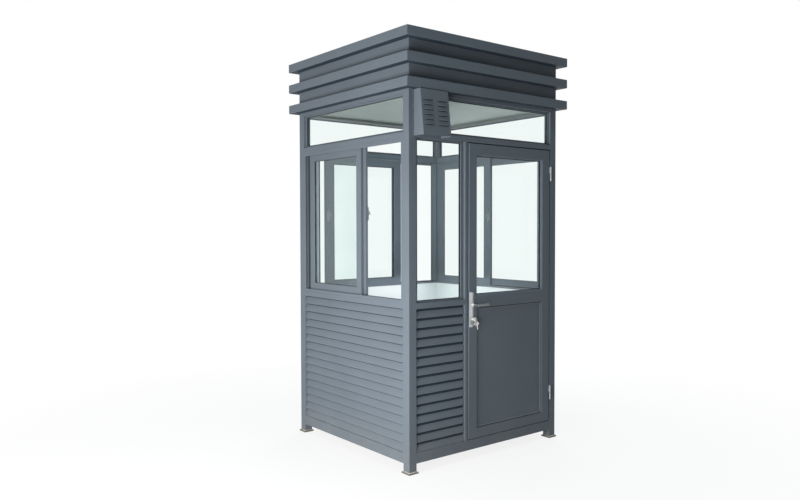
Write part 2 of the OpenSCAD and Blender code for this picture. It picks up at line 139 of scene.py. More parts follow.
def choose(piece, kind, test):
    """Selects faces by (middle, normal), edges by (middle, direction) or corners by (place)."""
    bpy.ops.mesh.select_mode(type=kind)
    bpy.ops.mesh.select_all(action="DESELECT")
    mesh = bmesh.from_edit_mesh(piece.data)
    if kind == "FACE":
        found = [f for f in mesh.faces if test(f.calc_center_median(), f.normal)]
    elif kind == "EDGE":
        ends = [(e, e.verts[0].co, e.verts[1].co) for e in mesh.edges]
        found = [e for e, a, b in ends if test((a + b) / 2, (b - a).normalized())]
    else:
        found = [v for v in mesh.verts if test(v.co)]
    for part in found:
        part.select_set(True)
    bmesh.update_edit_mesh(piece.data)
    return len(found)

def face_outward():
    """Turns every face of the piece in edit mode to point outward."""
    bpy.ops.mesh.select_all(action="SELECT")
    bpy.ops.mesh.normals_make_consistent(inside=False)

def close(a, b, within=0.05 * mm):
    return abs(a - b) < within

print("selecting tools ready")

# %% Placing and joining
def fix_place(piece):
    """Puts the object's move, turn and size into its mesh."""
    only(piece)
    bpy.ops.object.transform_apply(location=True, rotation=True, scale=True)
    return piece

def moved(piece, matrix):
    piece.matrix_world = matrix @ piece.matrix_world
    return fix_place(piece)

def copied(piece, name, matrix=Matrix.Identity(4)):
    """A copy with its own mesh, moved by the matrix."""
    twin = piece.copy()
    twin.data = piece.data.copy()
    twin.name = name
    scene.collection.objects.link(twin)
    return moved(twin, matrix)

def spread(first, name, places):
    """A copy of one piece at each place. The first piece was only a pattern, and is removed."""
    copies = [copied(first, name, place) for place in places]
    bpy.data.objects.remove(first)
    return copies

def joined(name, pieces):
    bpy.ops.object.select_all(action="DESELECT")
    for piece in pieces:
        piece.select_set(True)
    bpy.context.view_layer.objects.active = pieces[0]
    if len(pieces) > 1:
        bpy.ops.object.join()
    pieces[0].name = name
    return pieces[0]

def shift(x=0, y=0, z=0):
    return Matrix.Translation((x, y, z))

print("placing tools ready")

# %% [markdown]
# ## Edges
# Nothing made of bent or extruded metal has a perfectly sharp edge: a thin rounding catches the light
# and is what makes metal read as metal. A Bevel modifier rounds every edge that turns more than 30
# degrees. Weighted normals then keep the big faces flat to the eye, so only the rounding shades.

# %% Rounding and shading
def with_modifier(piece, kind, **settings):
    only(piece)
    modifier = piece.modifiers.new(kind.lower(), kind)
    for key, value in settings.items():
        setattr(modifier, key, value)
    bpy.ops.object.modifier_apply(modifier=modifier.name)
    return piece

def round_edges(piece, radius, steps=2):
    return with_modifier(piece, "BEVEL", width=radius, segments=steps, limit_method="ANGLE",
                         angle_limit=radians(30), use_clamp_overlap=True)

def shade(piece, angle=38):
    only(piece)
    bpy.ops.object.shade_smooth_by_angle(angle=radians(angle))
    return with_modifier(piece, "WEIGHTED_NORMAL", keep_sharp=True, weight=80)

print("edge tools ready")

# %% Block and rounded copy
def block(name, low, high):
    """A cube primitive stretched between two corners."""
    low, high = Vector(low), Vector(high)
    bpy.ops.object.select_all(action="DESELECT")
    bpy.ops.mesh.primitive_cube_add(size=1, location=(low + high) / 2, scale=high - low)
    piece = bpy.context.object
    piece.name = name
    return fix_place(piece)

def clean_copy(part, name):
    """A frame part's mesh is loose triangles, so a copy of it is merged and its flat faces joined."""
    piece = bpy.data.objects.new(name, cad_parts[part].data.copy())
    scene.collection.objects.link(piece)
    with editing(piece):
        bpy.ops.mesh.remove_doubles(threshold=0.01 * mm)
        bpy.ops.mesh.dissolve_limited(angle_limit=radians(0.5))
    return piece

def rounded_copy(part, name, radius, steps=2):
    return round_edges(clean_copy(part, name), radius, steps)

print("block and rounded copy ready")

# %% [markdown]
# ## Rings and turned parts
# Gaskets, glazing beads and trims are all rings that lie in a wall's plane. One starts as a plane, is
# inset to leave a border, loses its middle and is extruded to its depth. Round parts such as hinge
# barrels, lever necks and screws start as a filled circle, and each step extrudes the end and resizes
# it about the axis, which is the same as following a lathe's profile. Holes, slots and notches are
# punched through a piece by the Boolean modifier.

# %% Plane of any size
def plane(name, middle, size, tilt):
    """A plane primitive, stretched to its size and tilted about x."""
    bpy.ops.object.select_all(action="DESELECT")
    bpy.ops.mesh.primitive_plane_add(size=1, location=middle, rotation=(tilt, 0, 0))
    piece = bpy.context.object
    piece.name = name
    piece.scale = size
    return fix_place(piece)

print("plane tool ready")

# %% Ring in a wall's plane
def ring(name, x, y, z, width, radius=0, head=None):
    """A rectangular ring between two limits on each axis of a wall's frame, with its border's width."""
    middle = Vector(((x[0] + x[1]) / 2, y[1], (z[0] + z[1]) / 2))
    size = Vector((x[1] - x[0], z[1] - z[0], 1))
    piece = plane(name, middle, size, radians(90))
    with editing(piece):
        bpy.ops.mesh.inset(thickness=width)
        if head is not None:
            choose(piece, "EDGE", lambda p, d: close(p.z, z[1] - width) and abs(d.x) > 0.9)
            bpy.ops.transform.translate(value=(0, 0, width - head))
        choose(piece, "FACE", lambda p, n: abs(p.x - middle.x) < mm and abs(p.z - middle.z) < 0.1)
        bpy.ops.mesh.delete(type="FACE")
        bpy.ops.mesh.select_all(action="SELECT")
        bpy.ops.mesh.extrude_region_move(TRANSFORM_OT_translate={"value": (0, y[0] - y[1], 0)})
        face_outward()
    return round_edges(piece, radius) if radius else piece

# %% Millimetre lists
def in_mm(*points):
    """Points given in millimetres, as lengths in metres."""
    return [tuple(v * mm for v in point) for point in points]

print("25 mm is", in_mm((25,))[0][0], "m")

# %% Turned part
def turned(name, steps, sides=32, matrix=Matrix.Identity(4)):
    """Follows (radius, height) steps up the z axis, then moves the part by the matrix."""
    bpy.ops.object.select_all(action="DESELECT")
    bpy.ops.mesh.primitive_circle_add(vertices=sides, radius=steps[0][0], fill_type="NGON",
                                      location=(0, 0, steps[0][1]))
    piece = bpy.context.object
    piece.name = name
    fix_place(piece)
    with editing(piece):
        for (r0, z0), (r1, z1) in zip(steps, steps[1:]):
            bpy.ops.mesh.extrude_region_move(TRANSFORM_OT_translate={"value": (0, 0, z1 - z0)})
            bpy.ops.transform.resize(value=(r1 / r0, r1 / r0, 1), center_override=(0, 0, z1))
        face_outward()
    return moved(piece, matrix)

OUTWARD = Matrix.Rotation(radians(90), 4, "X")     # turns +z to -y, out of a wall
print("ring and turning tools ready")

# %% Punching
def punch(piece, cutters):
    """Cuts each cutter's shape out of the piece, and removes the cutter."""
    for cutter in cutters:
        only(piece)
        cut = piece.modifiers.new("cut", "BOOLEAN")
        cut.object, cut.operation, cut.solver = cutter, "DIFFERENCE", "EXACT"
        bpy.ops.object.modifier_apply(modifier=cut.name)
        bpy.data.objects.remove(cutter)
    return piece

print("punching tool ready")

# %% Folded sheet
def folded(name, x, section, thickness, sharp=0):
    """A strip from x[0] to x[1] that follows (y, z) points, thickened on its left-hand side."""
    (y0, z0), (y1, z1) = section[:2]
    piece = plane(name, ((x[0] + x[1]) / 2, (y0 + y1) / 2, (z0 + z1) / 2),
                  (x[1] - x[0], Vector((y1 - y0, z1 - z0)).length, 1), atan2(z1 - z0, y1 - y0))
    with editing(piece):
        for (ya, za), (yb, zb) in zip(section[1:], section[2:]):
            choose(piece, "EDGE", lambda p, d: close(p.y, ya) and close(p.z, za) and abs(d.x) > 0.9)
            bpy.ops.mesh.extrude_edges_move(TRANSFORM_OT_translate={"value": (0, yb - ya, zb - za)})
        face_outward()
    with_modifier(piece, "SOLIDIFY", thickness=thickness, offset=-1, use_even_offset=True)
    return round_edges(piece, sharp) if sharp else piece

print("folding tool ready")

# %% [markdown]
# ## Finishes
# Materials come before the pieces, so each piece takes its finish as it is made. Three effects are shared
# by several finishes, and each is a node group: the skin of a powder coat, a paler line along edges that
# is partly wear and partly a painted highlight, and the dust that settles low down and on ledges. A group
# only puts out colours, masks and heights, and every material feeds them into its own Principled shader.

# %% Node helpers
def linear(red, green, blue):
    """An 8-bit screen colour as the linear colour that a shader wants."""
    return [v / 12.92 if v <= 0.04045 else ((v + 0.055) / 1.055) ** 2.4
            for v in (red / 255, green / 255, blue / 255)] + [1]

def new_group(name, inputs, outputs):
    group = bpy.data.node_groups.new(name, "ShaderNodeTree")
    for direction, sockets in (("INPUT", inputs), ("OUTPUT", outputs)):
        for title, kind in sockets.items():
            group.interface.new_socket(title, in_out=direction, socket_type="NodeSocket" + kind)
    return group, group.nodes.new("NodeGroupInput"), group.nodes.new("NodeGroupOutput")

def add(tree, kind, inputs=None, **settings):
    """A node with its settings and its inputs, where an input is a value or another node's output."""
    node = tree.nodes.new("ShaderNode" + kind)
    for key, value in settings.items():
        setattr(node, key, value)
    for key, value in (inputs or {}).items():
        if isinstance(value, bpy.types.NodeSocket):
            tree.links.new(value, node.inputs[key])
        else:
            node.inputs[key].default_value = value
    return node

def noise(tree, scale, detail=2, roughness=0.5, place=None):
    if place is None:
        place = add(tree, "TexCoord").outputs["Object"]
    return add(tree, "TexNoise", {"Vector": place, "Scale": scale, "Detail": detail,
                                  "Roughness": roughness}).outputs["Fac"]

def ranged(tree, value, low, high, out_low, out_high):
    return add(tree, "MapRange", {"Value": value, "From Min": low, "From Max": high,
                                  "To Min": out_low, "To Max": out_high}).outputs["Result"]

def maths(tree, operation, a, b=0.0):
    return add(tree, "Math", {0: a, 1: b}, operation=operation).outputs[0]

def blended(tree, amount, a, b, mode="MIX"):
    """Mixes two colours. A Mix node's colour sockets are numbers 6 and 7, and its result is 2."""
    return add(tree, "Mix", {0: amount, 6: a, 7: b}, data_type="RGBA", blend_type=mode).outputs[2]

print("node helpers ready")

# %% [markdown]
# ### The shared effects
# Powder coat is sprayed on dry and melted in an oven, so it has a fine orange-peel surface and colour
# that drifts slightly over a metre. Edges are found by comparing the true normal with one that a Bevel
# node has rounded: they differ only near an edge. The paler colour given there is partly wear and partly
# a painted highlight, the light that a rounded edge catches. Dust settles on what faces up, and road dirt
# splashes up the lowest hand's breadth of the walls.

# %% Powder skin
skin, given, gives = new_group(
    "powder_skin", {"Colour": "Color", "Drift": "Float", "Roughness": "Float"},
    {"Colour": "Color", "Roughness": "Float", "Height": "Float"})
patches = ranged(skin, noise(skin, 2.3, 3), 0.3, 0.7, -0.5, 0.5)
mottle = ranged(skin, noise(skin, 160, 2), 0.3, 0.7, -0.35, 0.35)
level = maths(skin, "ADD", 1.0, maths(skin, "MULTIPLY", maths(skin, "ADD", patches, mottle),
                                      given.outputs["Drift"]))
grey = add(skin, "CombineColor", {0: level, 1: level, 2: level}).outputs[0]
skin.links.new(blended(skin, 1.0, given.outputs["Colour"], grey, "MULTIPLY"), gives.inputs["Colour"])
sheen_drift = ranged(skin, noise(skin, 7, 3), 0.3, 0.7, -0.05, 0.05)
skin.links.new(maths(skin, "ADD", given.outputs["Roughness"], sheen_drift), gives.inputs["Roughness"])
skin.links.new(noise(skin, 650, 2, 0.6), gives.inputs["Height"])
print("group", skin.name, "with", len(skin.nodes), "nodes")

# %% Edge wear and painted highlight
edge_wear_and_highlight, given, gives = new_group("edge_wear_and_painted_highlight", {"Reach": "Float"}, {"Mask": "Float"})
soft_normal = add(edge_wear_and_highlight, "Bevel", {"Radius": 0.0022}, samples=4).outputs["Normal"]
true_normal = add(edge_wear_and_highlight, "NewGeometry").outputs["Normal"]
turned_away = maths(edge_wear_and_highlight, "SUBTRACT", 1.0, add(edge_wear_and_highlight, "VectorMath", {0: soft_normal, 1: true_normal},
                                              operation="DOT_PRODUCT").outputs["Value"])
# The edge mask is partly wear and partly a painted highlight, the light that a rounded edge catches.
worn_and_lit = maths(edge_wear_and_highlight, "MULTIPLY", ranged(edge_wear_and_highlight, turned_away, 0.02, 0.25, 0.0, 1.0),
             ranged(edge_wear_and_highlight, noise(edge_wear_and_highlight, 21, 4, 0.65), 0.42, 0.66, 0.15, 1.0))
edge_wear_and_highlight.links.new(maths(edge_wear_and_highlight, "MULTIPLY", worn_and_lit, given.outputs["Reach"]), gives.inputs["Mask"])
print("group", edge_wear_and_highlight.name, "with", len(edge_wear_and_highlight.nodes), "nodes")

# %% Settled dust
dust, given, gives = new_group("settled_dust", {"Ledges": "Float", "Splash": "Float"},
                               {"Mask": "Float"})
facing = add(dust, "SeparateXYZ", {0: add(dust, "NewGeometry").outputs["Normal"]}).outputs["Z"]
place = add(dust, "SeparateXYZ", {0: add(dust, "TexCoord").outputs["Object"]}).outputs["Z"]
cloud = ranged(dust, noise(dust, 9, 5, 0.6), 0.35, 0.65, 0.35, 1.0)
ledge = maths(dust, "MULTIPLY", ranged(dust, facing, 0.55, 0.98, 0.0, 1.0), given.outputs["Ledges"])
low_down = maths(dust, "MULTIPLY", ranged(dust, place, 0.30, 0.01, 0.0, 1.0), given.outputs["Splash"])
dust.links.new(maths(dust, "MULTIPLY", maths(dust, "MAXIMUM", ledge, low_down), cloud),
               gives.inputs["Mask"])
print("group", dust.name, "with", len(dust.nodes), "nodes")

# %% Material starter
def new_material(name, colour, roughness, metallic=0.0, **sockets):
    """A material with its Principled shader, whose plain numbers sit on the shader's own sockets."""
    material = bpy.data.materials.new(name)
    material.use_nodes = True
    shader = material.node_tree.nodes["Principled BSDF"]
    shader.inputs["Base Color"].default_value = colour
    shader.inputs["Roughness"].default_value = roughness
    shader.inputs["Metallic"].default_value = metallic
    for title, value in sockets.items():
        shader.inputs[title.replace("_", " ")].default_value = value
    return material, material.node_tree, shader

def effect(tree, group, **inputs):
    node = add(tree, "Group", node_tree=group)
    for title, value in inputs.items():
        if isinstance(value, bpy.types.NodeSocket):
            tree.links.new(value, node.inputs[title])
        else:
            node.inputs[title].default_value = value
    return node

def drive(tree, shader, **sockets):
    """Feeds other nodes' outputs into the shader's sockets."""
    for title, value in sockets.items():
        tree.links.new(value, shader.inputs[title.replace("_", " ")])

def bump(tree, shader, height, strength, distance):
    node = add(tree, "Bump", {"Height": height, "Strength": strength, "Distance": distance})
    drive(tree, shader, Normal=node.outputs["Normal"])

print("material starter ready")

# %% [markdown]
# ### Painted aluminium
# Nearly everything outside is aluminium section in one blue-grey powder coat. The coat is a satin plastic
# film and not a metal to the eye, so it is a dielectric with middling roughness. The skin group gives
# drift and orange peel, edges are a little paler, partly from wear and partly as a painted highlight, and
# ledges carry a trace of dust.

# %% Blue-grey coat
def coat(name, colour, roughness, reach, ledges, splash):
    material, tree, shader = new_material(name, colour, roughness, Specular_IOR_Level=0.14)
    film = effect(tree, skin, Colour=colour, Drift=0.09, Roughness=roughness)
    edge = effect(tree, edge_wear_and_highlight, Reach=reach)
    dirt = effect(tree, dust, Ledges=ledges, Splash=splash)
    # Paler edges, partly wear and partly a painted highlight.
    pale = [min(1, c * 1.5 + 0.02) for c in colour[:3]] + [1]
    worn_and_lit_edges = blended(tree, edge.outputs["Mask"], film.outputs["Colour"], pale)
    dusty = blended(tree, dirt.outputs["Mask"], worn_and_lit_edges, linear(168, 160, 148))
    rough = maths(tree, "ADD", film.outputs["Roughness"],
                  maths(tree, "MULTIPLY", dirt.outputs["Mask"], 0.35))
    drive(tree, shader, Base_Color=dusty, Roughness=rough)
    bump(tree, shader, film.outputs["Height"], 0.10, 0.0006)
    return material

paint = coat("blue_grey_powder_coat", linear(106, 116, 126), 0.42, reach=0.35, ledges=0.10, splash=0.16)
print("coat:", paint.name)

# %% [markdown]
# ### White linings, ceiling and floor
# The lower walls are lined with white laminate on board, which is smooth, faintly mottled and glossy
# enough to pick up the windows. The ceiling panel and its trim strip are white sheet, coloured matt
# grey-white and a good deal darker than the linings: that grey is painted shade, the shade the ceiling
# and its trim lie in. The floor is a grey vinyl sheet with darker and paler flecks, scuffed by shoes.

# %% Laminate and ceiling
def board(name, colour, roughness, fleck, grain, strength):
    material, tree, shader = new_material(name, colour, roughness, Specular_IOR_Level=0.4)
    film = effect(tree, skin, Colour=colour, Drift=fleck, Roughness=roughness)
    dirt = effect(tree, dust, Ledges=0.12, Splash=0.10)
    dusty = blended(tree, dirt.outputs["Mask"], film.outputs["Colour"], linear(186, 180, 168))
    drive(tree, shader, Base_Color=dusty, Roughness=film.outputs["Roughness"])
    bump(tree, shader, noise(tree, grain, 3), strength, 0.0005)
    return material

laminate = board("white_laminate", linear(217, 223, 225), 0.34, 0.02, 240, 0.10)
# Ceiling and cornice: white sheet greyed with painted shade.
ceiling_painted_shade = board("white_ceiling_painted_shade", linear(126, 136, 134), 0.6, 0.05, 420, 0.25)
cornice_painted_shade = board("white_trim_painted_shade", linear(112, 120, 119), 0.5, 0.03, 300, 0.12)
print("boards:", laminate.name, ceiling_painted_shade.name, cornice_painted_shade.name)

# %% Vinyl floor
vinyl_grey = linear(150, 151, 150)
vinyl, tree, shader = new_material("flecked_vinyl_floor", vinyl_grey, 0.55)
film = effect(tree, skin, Colour=vinyl_grey, Drift=0.10, Roughness=0.52)
flecks = add(tree, "TexVoronoi", {"Vector": add(tree, "TexCoord").outputs["Object"], "Scale": 170})
pale_fleck = ranged(tree, flecks.outputs["Distance"], 0.10, 0.22, 1.0, 0.0)
fleck_level = add(tree, "SeparateColor", {0: flecks.outputs["Color"]}).outputs[0]
fleck_colour = add(tree, "ValToRGB", {"Fac": fleck_level}).outputs["Color"]
flecked = blended(tree, maths(tree, "MULTIPLY", pale_fleck, 0.45), film.outputs["Colour"], fleck_colour)
scuffs = ranged(tree, noise(tree, 5, 6, 0.7), 0.56, 0.72, 0.0, 0.4)
drive(tree, shader, Base_Color=blended(tree, scuffs, flecked, linear(118, 116, 112)),
      Roughness=maths(tree, "ADD", film.outputs["Roughness"], maths(tree, "MULTIPLY", scuffs, 0.4)))
bump(tree, shader, flecks.outputs["Distance"], 0.15, 0.0005)
print("floor:", vinyl.name)

# %% [markdown]
# ### Glass
# Float glass has a faint green-grey tint that shows where it is seen through its thickness. A solid
# pane would throw a black shadow in Cycles, so for shadow rays only the shader is swapped for a plain
# tinted Transparent one. A very thin film of grime, thicker in soft patches, roughens it a little. The
# index is set below that of real glass, 1.5, because at that value the white surroundings lie over
# everything behind the pane like a veil.

# %% Clear glass
glass, tree, shader = new_material("clear_glass", linear(248, 252, 251), 0.0, IOR=1.2,
                                   Transmission_Weight=1.0)
grime = ranged(tree, noise(tree, 3.1, 5, 0.65), 0.45, 0.8, 0.0, 0.05)
tint = blended(tree, ranged(tree, noise(tree, 6, 4), 0.3, 0.7, 0.0, 1.0), linear(249, 253, 252),
               linear(247, 252, 251))
drive(tree, shader, Base_Color=tint, Roughness=grime)
clear = add(tree, "BsdfTransparent", {"Color": linear(242, 248, 247)})
lets_lamps_through = add(tree, "MixShader", {0: add(tree, "LightPath").outputs["Is Shadow Ray"],
                                             1: shader.outputs[0], 2: clear.outputs[0]})
tree.links.new(lets_lamps_through.outputs[0], tree.nodes["Material Output"].inputs["Surface"])
print("glass:", glass.name)

# %% [markdown]
# ### Steel
# The lock plates, lever and hinges are stainless steel, brushed in one direction. Stretching a noise
# along the brushing turns its blobs into long fine lines, which drive both the roughness and a small
# bump. Four greys of it are needed: satin for the plates, polished for the roses and necks, a dull one
# for the hinges and catches, and a darker copy of the steel whose colour is painted shade, for the
# plate's right facet and the lever's arm, which mirror dark surroundings. Keys and screws are smoother
# plated steel, and the feet are plain steel that has dulled.

# %% Brushed and plated steel
def brushed(name, colour, roughness, along, lines, strength, tarnish):
    material, tree, shader = new_material(name, colour, roughness, metallic=1.0)
    stretch = add(tree, "Mapping", {"Vector": add(tree, "TexCoord").outputs["Object"], "Scale": along})
    hairs = noise(tree, lines, 3, 0.7, stretch.outputs["Vector"])
    dull = ranged(tree, noise(tree, 26, 4, 0.6), 0.5, 0.75, 0.0, tarnish)
    darker = [c * 0.55 for c in colour[:3]] + [1]
    streaked = blended(tree, ranged(tree, hairs, 0.35, 0.65, 0.0, 0.22), colour, darker)
    rough = maths(tree, "ADD", ranged(tree, hairs, 0.3, 0.7, roughness - 0.06, roughness + 0.08),
                  maths(tree, "MULTIPLY", dull, 0.5))
    drive(tree, shader, Base_Color=blended(tree, dull, streaked, linear(118, 118, 116)), Roughness=rough)
    bump(tree, shader, hairs, strength, 0.0003)
    return material

upright = (6, 6, 0.4)      # stretched along z, so the brushing runs up and down
satin_steel = brushed("satin_stainless_steel", linear(190, 196, 198), 0.32, upright, 260, 0.12, 0.12)
bright_steel = brushed("polished_stainless_steel", linear(216, 215, 212), 0.18, (1, 1, 8), 90, 0.05, 0.1)
dull_steel = brushed("dull_stainless_steel", linear(148, 153, 156), 0.40, upright, 260, 0.10, 0.25)
# The same steel, darker: this colour is painted shade, the dark surroundings that a facet mirrors.
painted_shade_steel = brushed("painted_shade_stainless_steel", linear(112, 117, 120), 0.36, upright, 260, 0.10, 0.15)
key_nickel = brushed("nickel_plated_keys", linear(172, 172, 168), 0.36, (2, 2, 2), 210, 0.08, 0.15)
zinc_screw = brushed("zinc_plated_screws", linear(176, 176, 172), 0.34, (3, 3, 3), 300, 0.10, 0.4)
print("steels:", [steel.name for steel in (satin_steel, bright_steel, dull_steel, painted_shade_steel)],
      "plated:", key_nickel.name, zinc_screw.name)

# %% Foot steel and weld
def dulled(name, colour, stain, roughness, metallic, scale):
    material, tree, shader = new_material(name, colour, roughness, metallic=metallic)
    bloom = ranged(tree, noise(tree, scale, 6, 0.7), 0.38, 0.66, 0.0, 1.0)
    # Paler edges on the feet and welds: partly wear, partly a painted highlight.
    edge = effect(tree, edge_wear_and_highlight, Reach=0.4)
    mixed = blended(tree, bloom, colour, stain)
    drive(tree, shader, Base_Color=blended(tree, edge.outputs["Mask"], mixed, linear(186, 180, 170)),
          Roughness=maths(tree, "ADD", maths(tree, "MULTIPLY", bloom, 0.2), roughness))
    bump(tree, shader, noise(tree, scale * 9, 3), 0.25, 0.0006)
    return material

foot_steel = dulled("dull_foot_steel", linear(128, 124, 118), linear(98, 93, 86), 0.5, 0.3, 24)
weld_metal = dulled("weld_metal", linear(188, 186, 182), linear(142, 138, 132), 0.4, 0.5, 60)
print("feet:", foot_steel.name, weld_metal.name)

# %% [markdown]
# ### Rubber, painted shade strips and brush pile
# Every pane sits in a black rubber gasket, matt with a slight bloom. Blue-black strips under the louvre
# boards' lips and the canopy's bands are painted shade, dark sheets laid where those gaps are shaded. The
# sliding sashes run in a dark brush pile that keeps draughts out; its finish also darkens the jamb strips
# and the hood's screen, where it is partly painted shade. All three are nearly black, so their grain
# carries them.

# %% Rubber, painted shade strips and pile
def soft_black(name, colour, roughness, scale, strength):
    material, tree, shader = new_material(name, colour, roughness, Specular_IOR_Level=0.25)
    film = effect(tree, skin, Colour=colour, Drift=0.25, Roughness=roughness)
    dirt = effect(tree, dust, Ledges=0.3, Splash=0.1)
    dusty = blended(tree, dirt.outputs["Mask"], film.outputs["Colour"], linear(120, 118, 114))
    drive(tree, shader, Base_Color=dusty, Roughness=film.outputs["Roughness"])
    bump(tree, shader, noise(tree, scale, 4, 0.7), strength, 0.0005)
    return material

rubber = soft_black("black_rubber_gasket", linear(34, 38, 43), 0.62, 500, 0.2)
# Blue-black painted shade for the gaps under the louvre lips and the bands.
dark_shade_finish = soft_black("blue_black_painted_shade", linear(46, 58, 70), 0.8, 900, 0.4)
# Dark brush pile; on the jamb strips and the hood's screen this dark is partly painted shade.
dark_pile_and_shade = soft_black("dark_pile_and_painted_shade", linear(52, 54, 56), 0.9, 1400, 0.8)
print("soft parts:", rubber.name, dark_shade_finish.name, dark_pile_and_shade.name)

# %% [markdown]
# ## Handing a piece to a body
# Each finished piece gets its finish, rides on its body and says which plain parts it stands for. It is
# also handed the name of the slot that it takes its finish from, which fit does not use. One function
# does all of this, so no piece is forgotten.
# Rubber, the strips of painted shade and brush pile have no slot of their own, because a repaint never
# touches them. Two more functions take up what repeats: one for pieces drawn in a wall's frame, and one
# for plain parts that only need rounded edges.

def fit(piece, finish, body, slot, *stands_for):
    piece.data.materials.clear()
    piece.data.materials.append(finish)
    shade(piece)
    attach(piece, body)
    if stands_for:
        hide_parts(*stands_for)
    return piece

def fit_on(side, name, pieces, finish, body, slot, *stands_for):
    """Joins pieces that were drawn in a wall's frame, moves them to their wall and fits them."""
    return fit(moved(joined(name, pieces), WALLS[side]), finish, body, slot, *stands_for)

def fit_rounded(part, name, radius, finish, body, slot):
    """Fits a rounded copy of a part in the part's place."""
    return fit(rounded_copy(part, name, radius), finish, body, slot, part)

def finish_part(part, finish):
    """A plain part whose shape is already right keeps it and gets its finish."""
    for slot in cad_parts[part].material_slots:
        slot.material = finish

print("fitting tools ready")

# %% [markdown]
# ## Posts and rails
# The skeleton is square tube and flat section. Each post is a block that is inset at its top and
# extruded down, which opens the mouth of the tube, and then rounded as drawn tube is. Rails are plain
# lengths that already have the right shape, so a cleaned copy of each is rounded. Modelling them again
# would only risk losing their size.

# %% Posts
POSTS = ("front_left_post", "front_right_post", "back_left_post", "back_right_post")
tube_wall, tube_mouth, tube_round = 3 * mm, 60 * mm, 2.2 * mm
for part in POSTS:
    low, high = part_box(part)
    post = block(part + "_tube", low, high)
    with editing(post):
        choose(post, "FACE", lambda p, n: n.z > 0.9)
        bpy.ops.mesh.inset(thickness=tube_wall)
        bpy.ops.mesh.extrude_region_move(TRANSFORM_OT_translate={"value": (0, 0, -tube_mouth)})
    fit(round_edges(post, tube_round, 3), paint, "root", "frame_metal", part)
print("posts", round(wall_top, 3), "high")

# %% Rails
rail_round = 1.6 * mm
for part in ("base_rails", "sill_rails", "transom_rails", "top_rails", "front_mullion", "floor_bearers",
             "front_window_frame", "clerestory_frames"):
    fit_rounded(part, part + "_section", rail_round, paint, "root", "frame_metal")
print("rails and fixed frames rounded by", rail_round / mm, "mm")

# %% [markdown]
# ### Feet and their welds
# Every foot is a square plate, welded to its post all round. A weld could be a plain fillet, but it is a
# row of overlapping beads in truth, so one bead is cut flat from a sphere, stretched and pushed to one
# side, and copies of it follow the post's outline.

# %% Foot plates
fit_rounded("foot_plates", "foot_plates_cut", 1.5 * mm, foot_steel, "root", "foot_steel")
plate_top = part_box("foot_plates")[1].z
print("foot plates", round(plate_top / mm), "mm thick")

# %% Weld beads
bpy.ops.object.select_all(action="DESELECT")
bpy.ops.mesh.primitive_uv_sphere_add(segments=12, ring_count=8, radius=4.4 * mm)
bead = bpy.context.object
bead.name = "weld_bead"
with editing(bead):
    bpy.ops.mesh.bisect(plane_co=(0, 0, 0), plane_no=(0, 0, 1), clear_inner=True, use_fill=True)
    bpy.ops.mesh.select_all(action="SELECT")
    bpy.ops.transform.resize(value=(1.0, 1.15, 1.05))
    choose(bead, "VERT", lambda p: p.z > 2 * mm)
    bpy.ops.transform.translate(value=(-1.3 * mm, 0, 0))

places = []
bead_step = 5 * mm
half, count = post_w / 2, int(post_w / bead_step)
for part in POSTS:
    low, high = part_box(part)
    centre = (low + high) / 2
    for quarter in range(4):
        turn = Matrix.Rotation(radians(90) * quarter, 4, "Z")
        for i in range(count + 1):
            along = -half + post_w * i / count
            places.append(shift(centre.x, centre.y, plate_top) @ turn @ shift(along, -half))
fit(joined("foot_weld_beads", spread(bead, "bead", places)), weld_metal, "root", "foot_steel")
print("weld beads:", len(places))

# %% [markdown]
# ## Louvred walls
# Each lower wall is a stack of folded aluminium boards. A board hangs its lip over the one below, so rain
# runs off. The section below goes up from a small hem, round the lip and along a gently crowned slope
# that tucks behind the next board, and the sheet is then thickened inward. One board is made for each
# wall, and copies climb at the wall's pitch. A dark strip lies on each slope, just below the next board's
# lip, where the lip shades it: the strip is painted shade, and it is deeper on the front and back walls.
# A flat backing closes the wall behind the boards, and narrow edge trims cover the cut ends at the posts.

# %% One board's section
lip_in, top_in, lip_h, drip = 6 * mm, 27 * mm, 7 * mm, 6 * mm
sheet_t = 1.2 * mm

def board_section(pitch):
    """(y, z) points from the hem to the tucked top edge, above the board's own lip."""
    hem = [(lip_in + 9 * mm, 3.2 * mm), (lip_in + 2.6 * mm, 0.5 * mm)]
    nose = [(lip_in + 1.0 * mm, 0.1 * mm), (lip_in + 0.1 * mm, 1.2 * mm), (lip_in, 3 * mm),
            (lip_in + 0.1 * mm, lip_h - 1.4 * mm)]
    start, end = Vector((lip_in + 0.9 * mm, lip_h)), Vector((top_in - sheet_t, pitch + drip - 1.5 * mm))
    crown = 2.2 * mm
    slope = []
    for i in range(7):
        t = i / 6
        point = start.lerp(end, t)
        slope.append((point.x - crown * sin(pi * t) * 0.9, point.y + crown * sin(pi * t) * 0.4))
    return hem + nose + slope

print("sheet", sheet_t / mm, "mm thick")

# %% One louvred wall
def climbing(first, name, count, start, pitch):
    return spread(first, name, [shift(z=start + pitch * i) for i in range(count)])

def lip_shade_strip(name, low, high, pitch, strip_h):
    """A dark strip of painted shade that follows a board's slope, from strip_h below the next lip to just
    behind it.
    """
    section = board_section(pitch)
    foot, head = section[-7], section[-1]
    lean = (head[0] - foot[0]) / (head[1] - foot[1])
    ends_z, stand_off = (pitch - strip_h, pitch + 4 * mm), (2.6 * mm, 1.8 * mm)
    line = [(foot[0] + lean * (z - foot[1]) - out, z) for z, out in zip(ends_z, stand_off)]
    return folded(name, (low.x + 0.5 * mm, high.x - 0.5 * mm), line, 1.4 * mm)

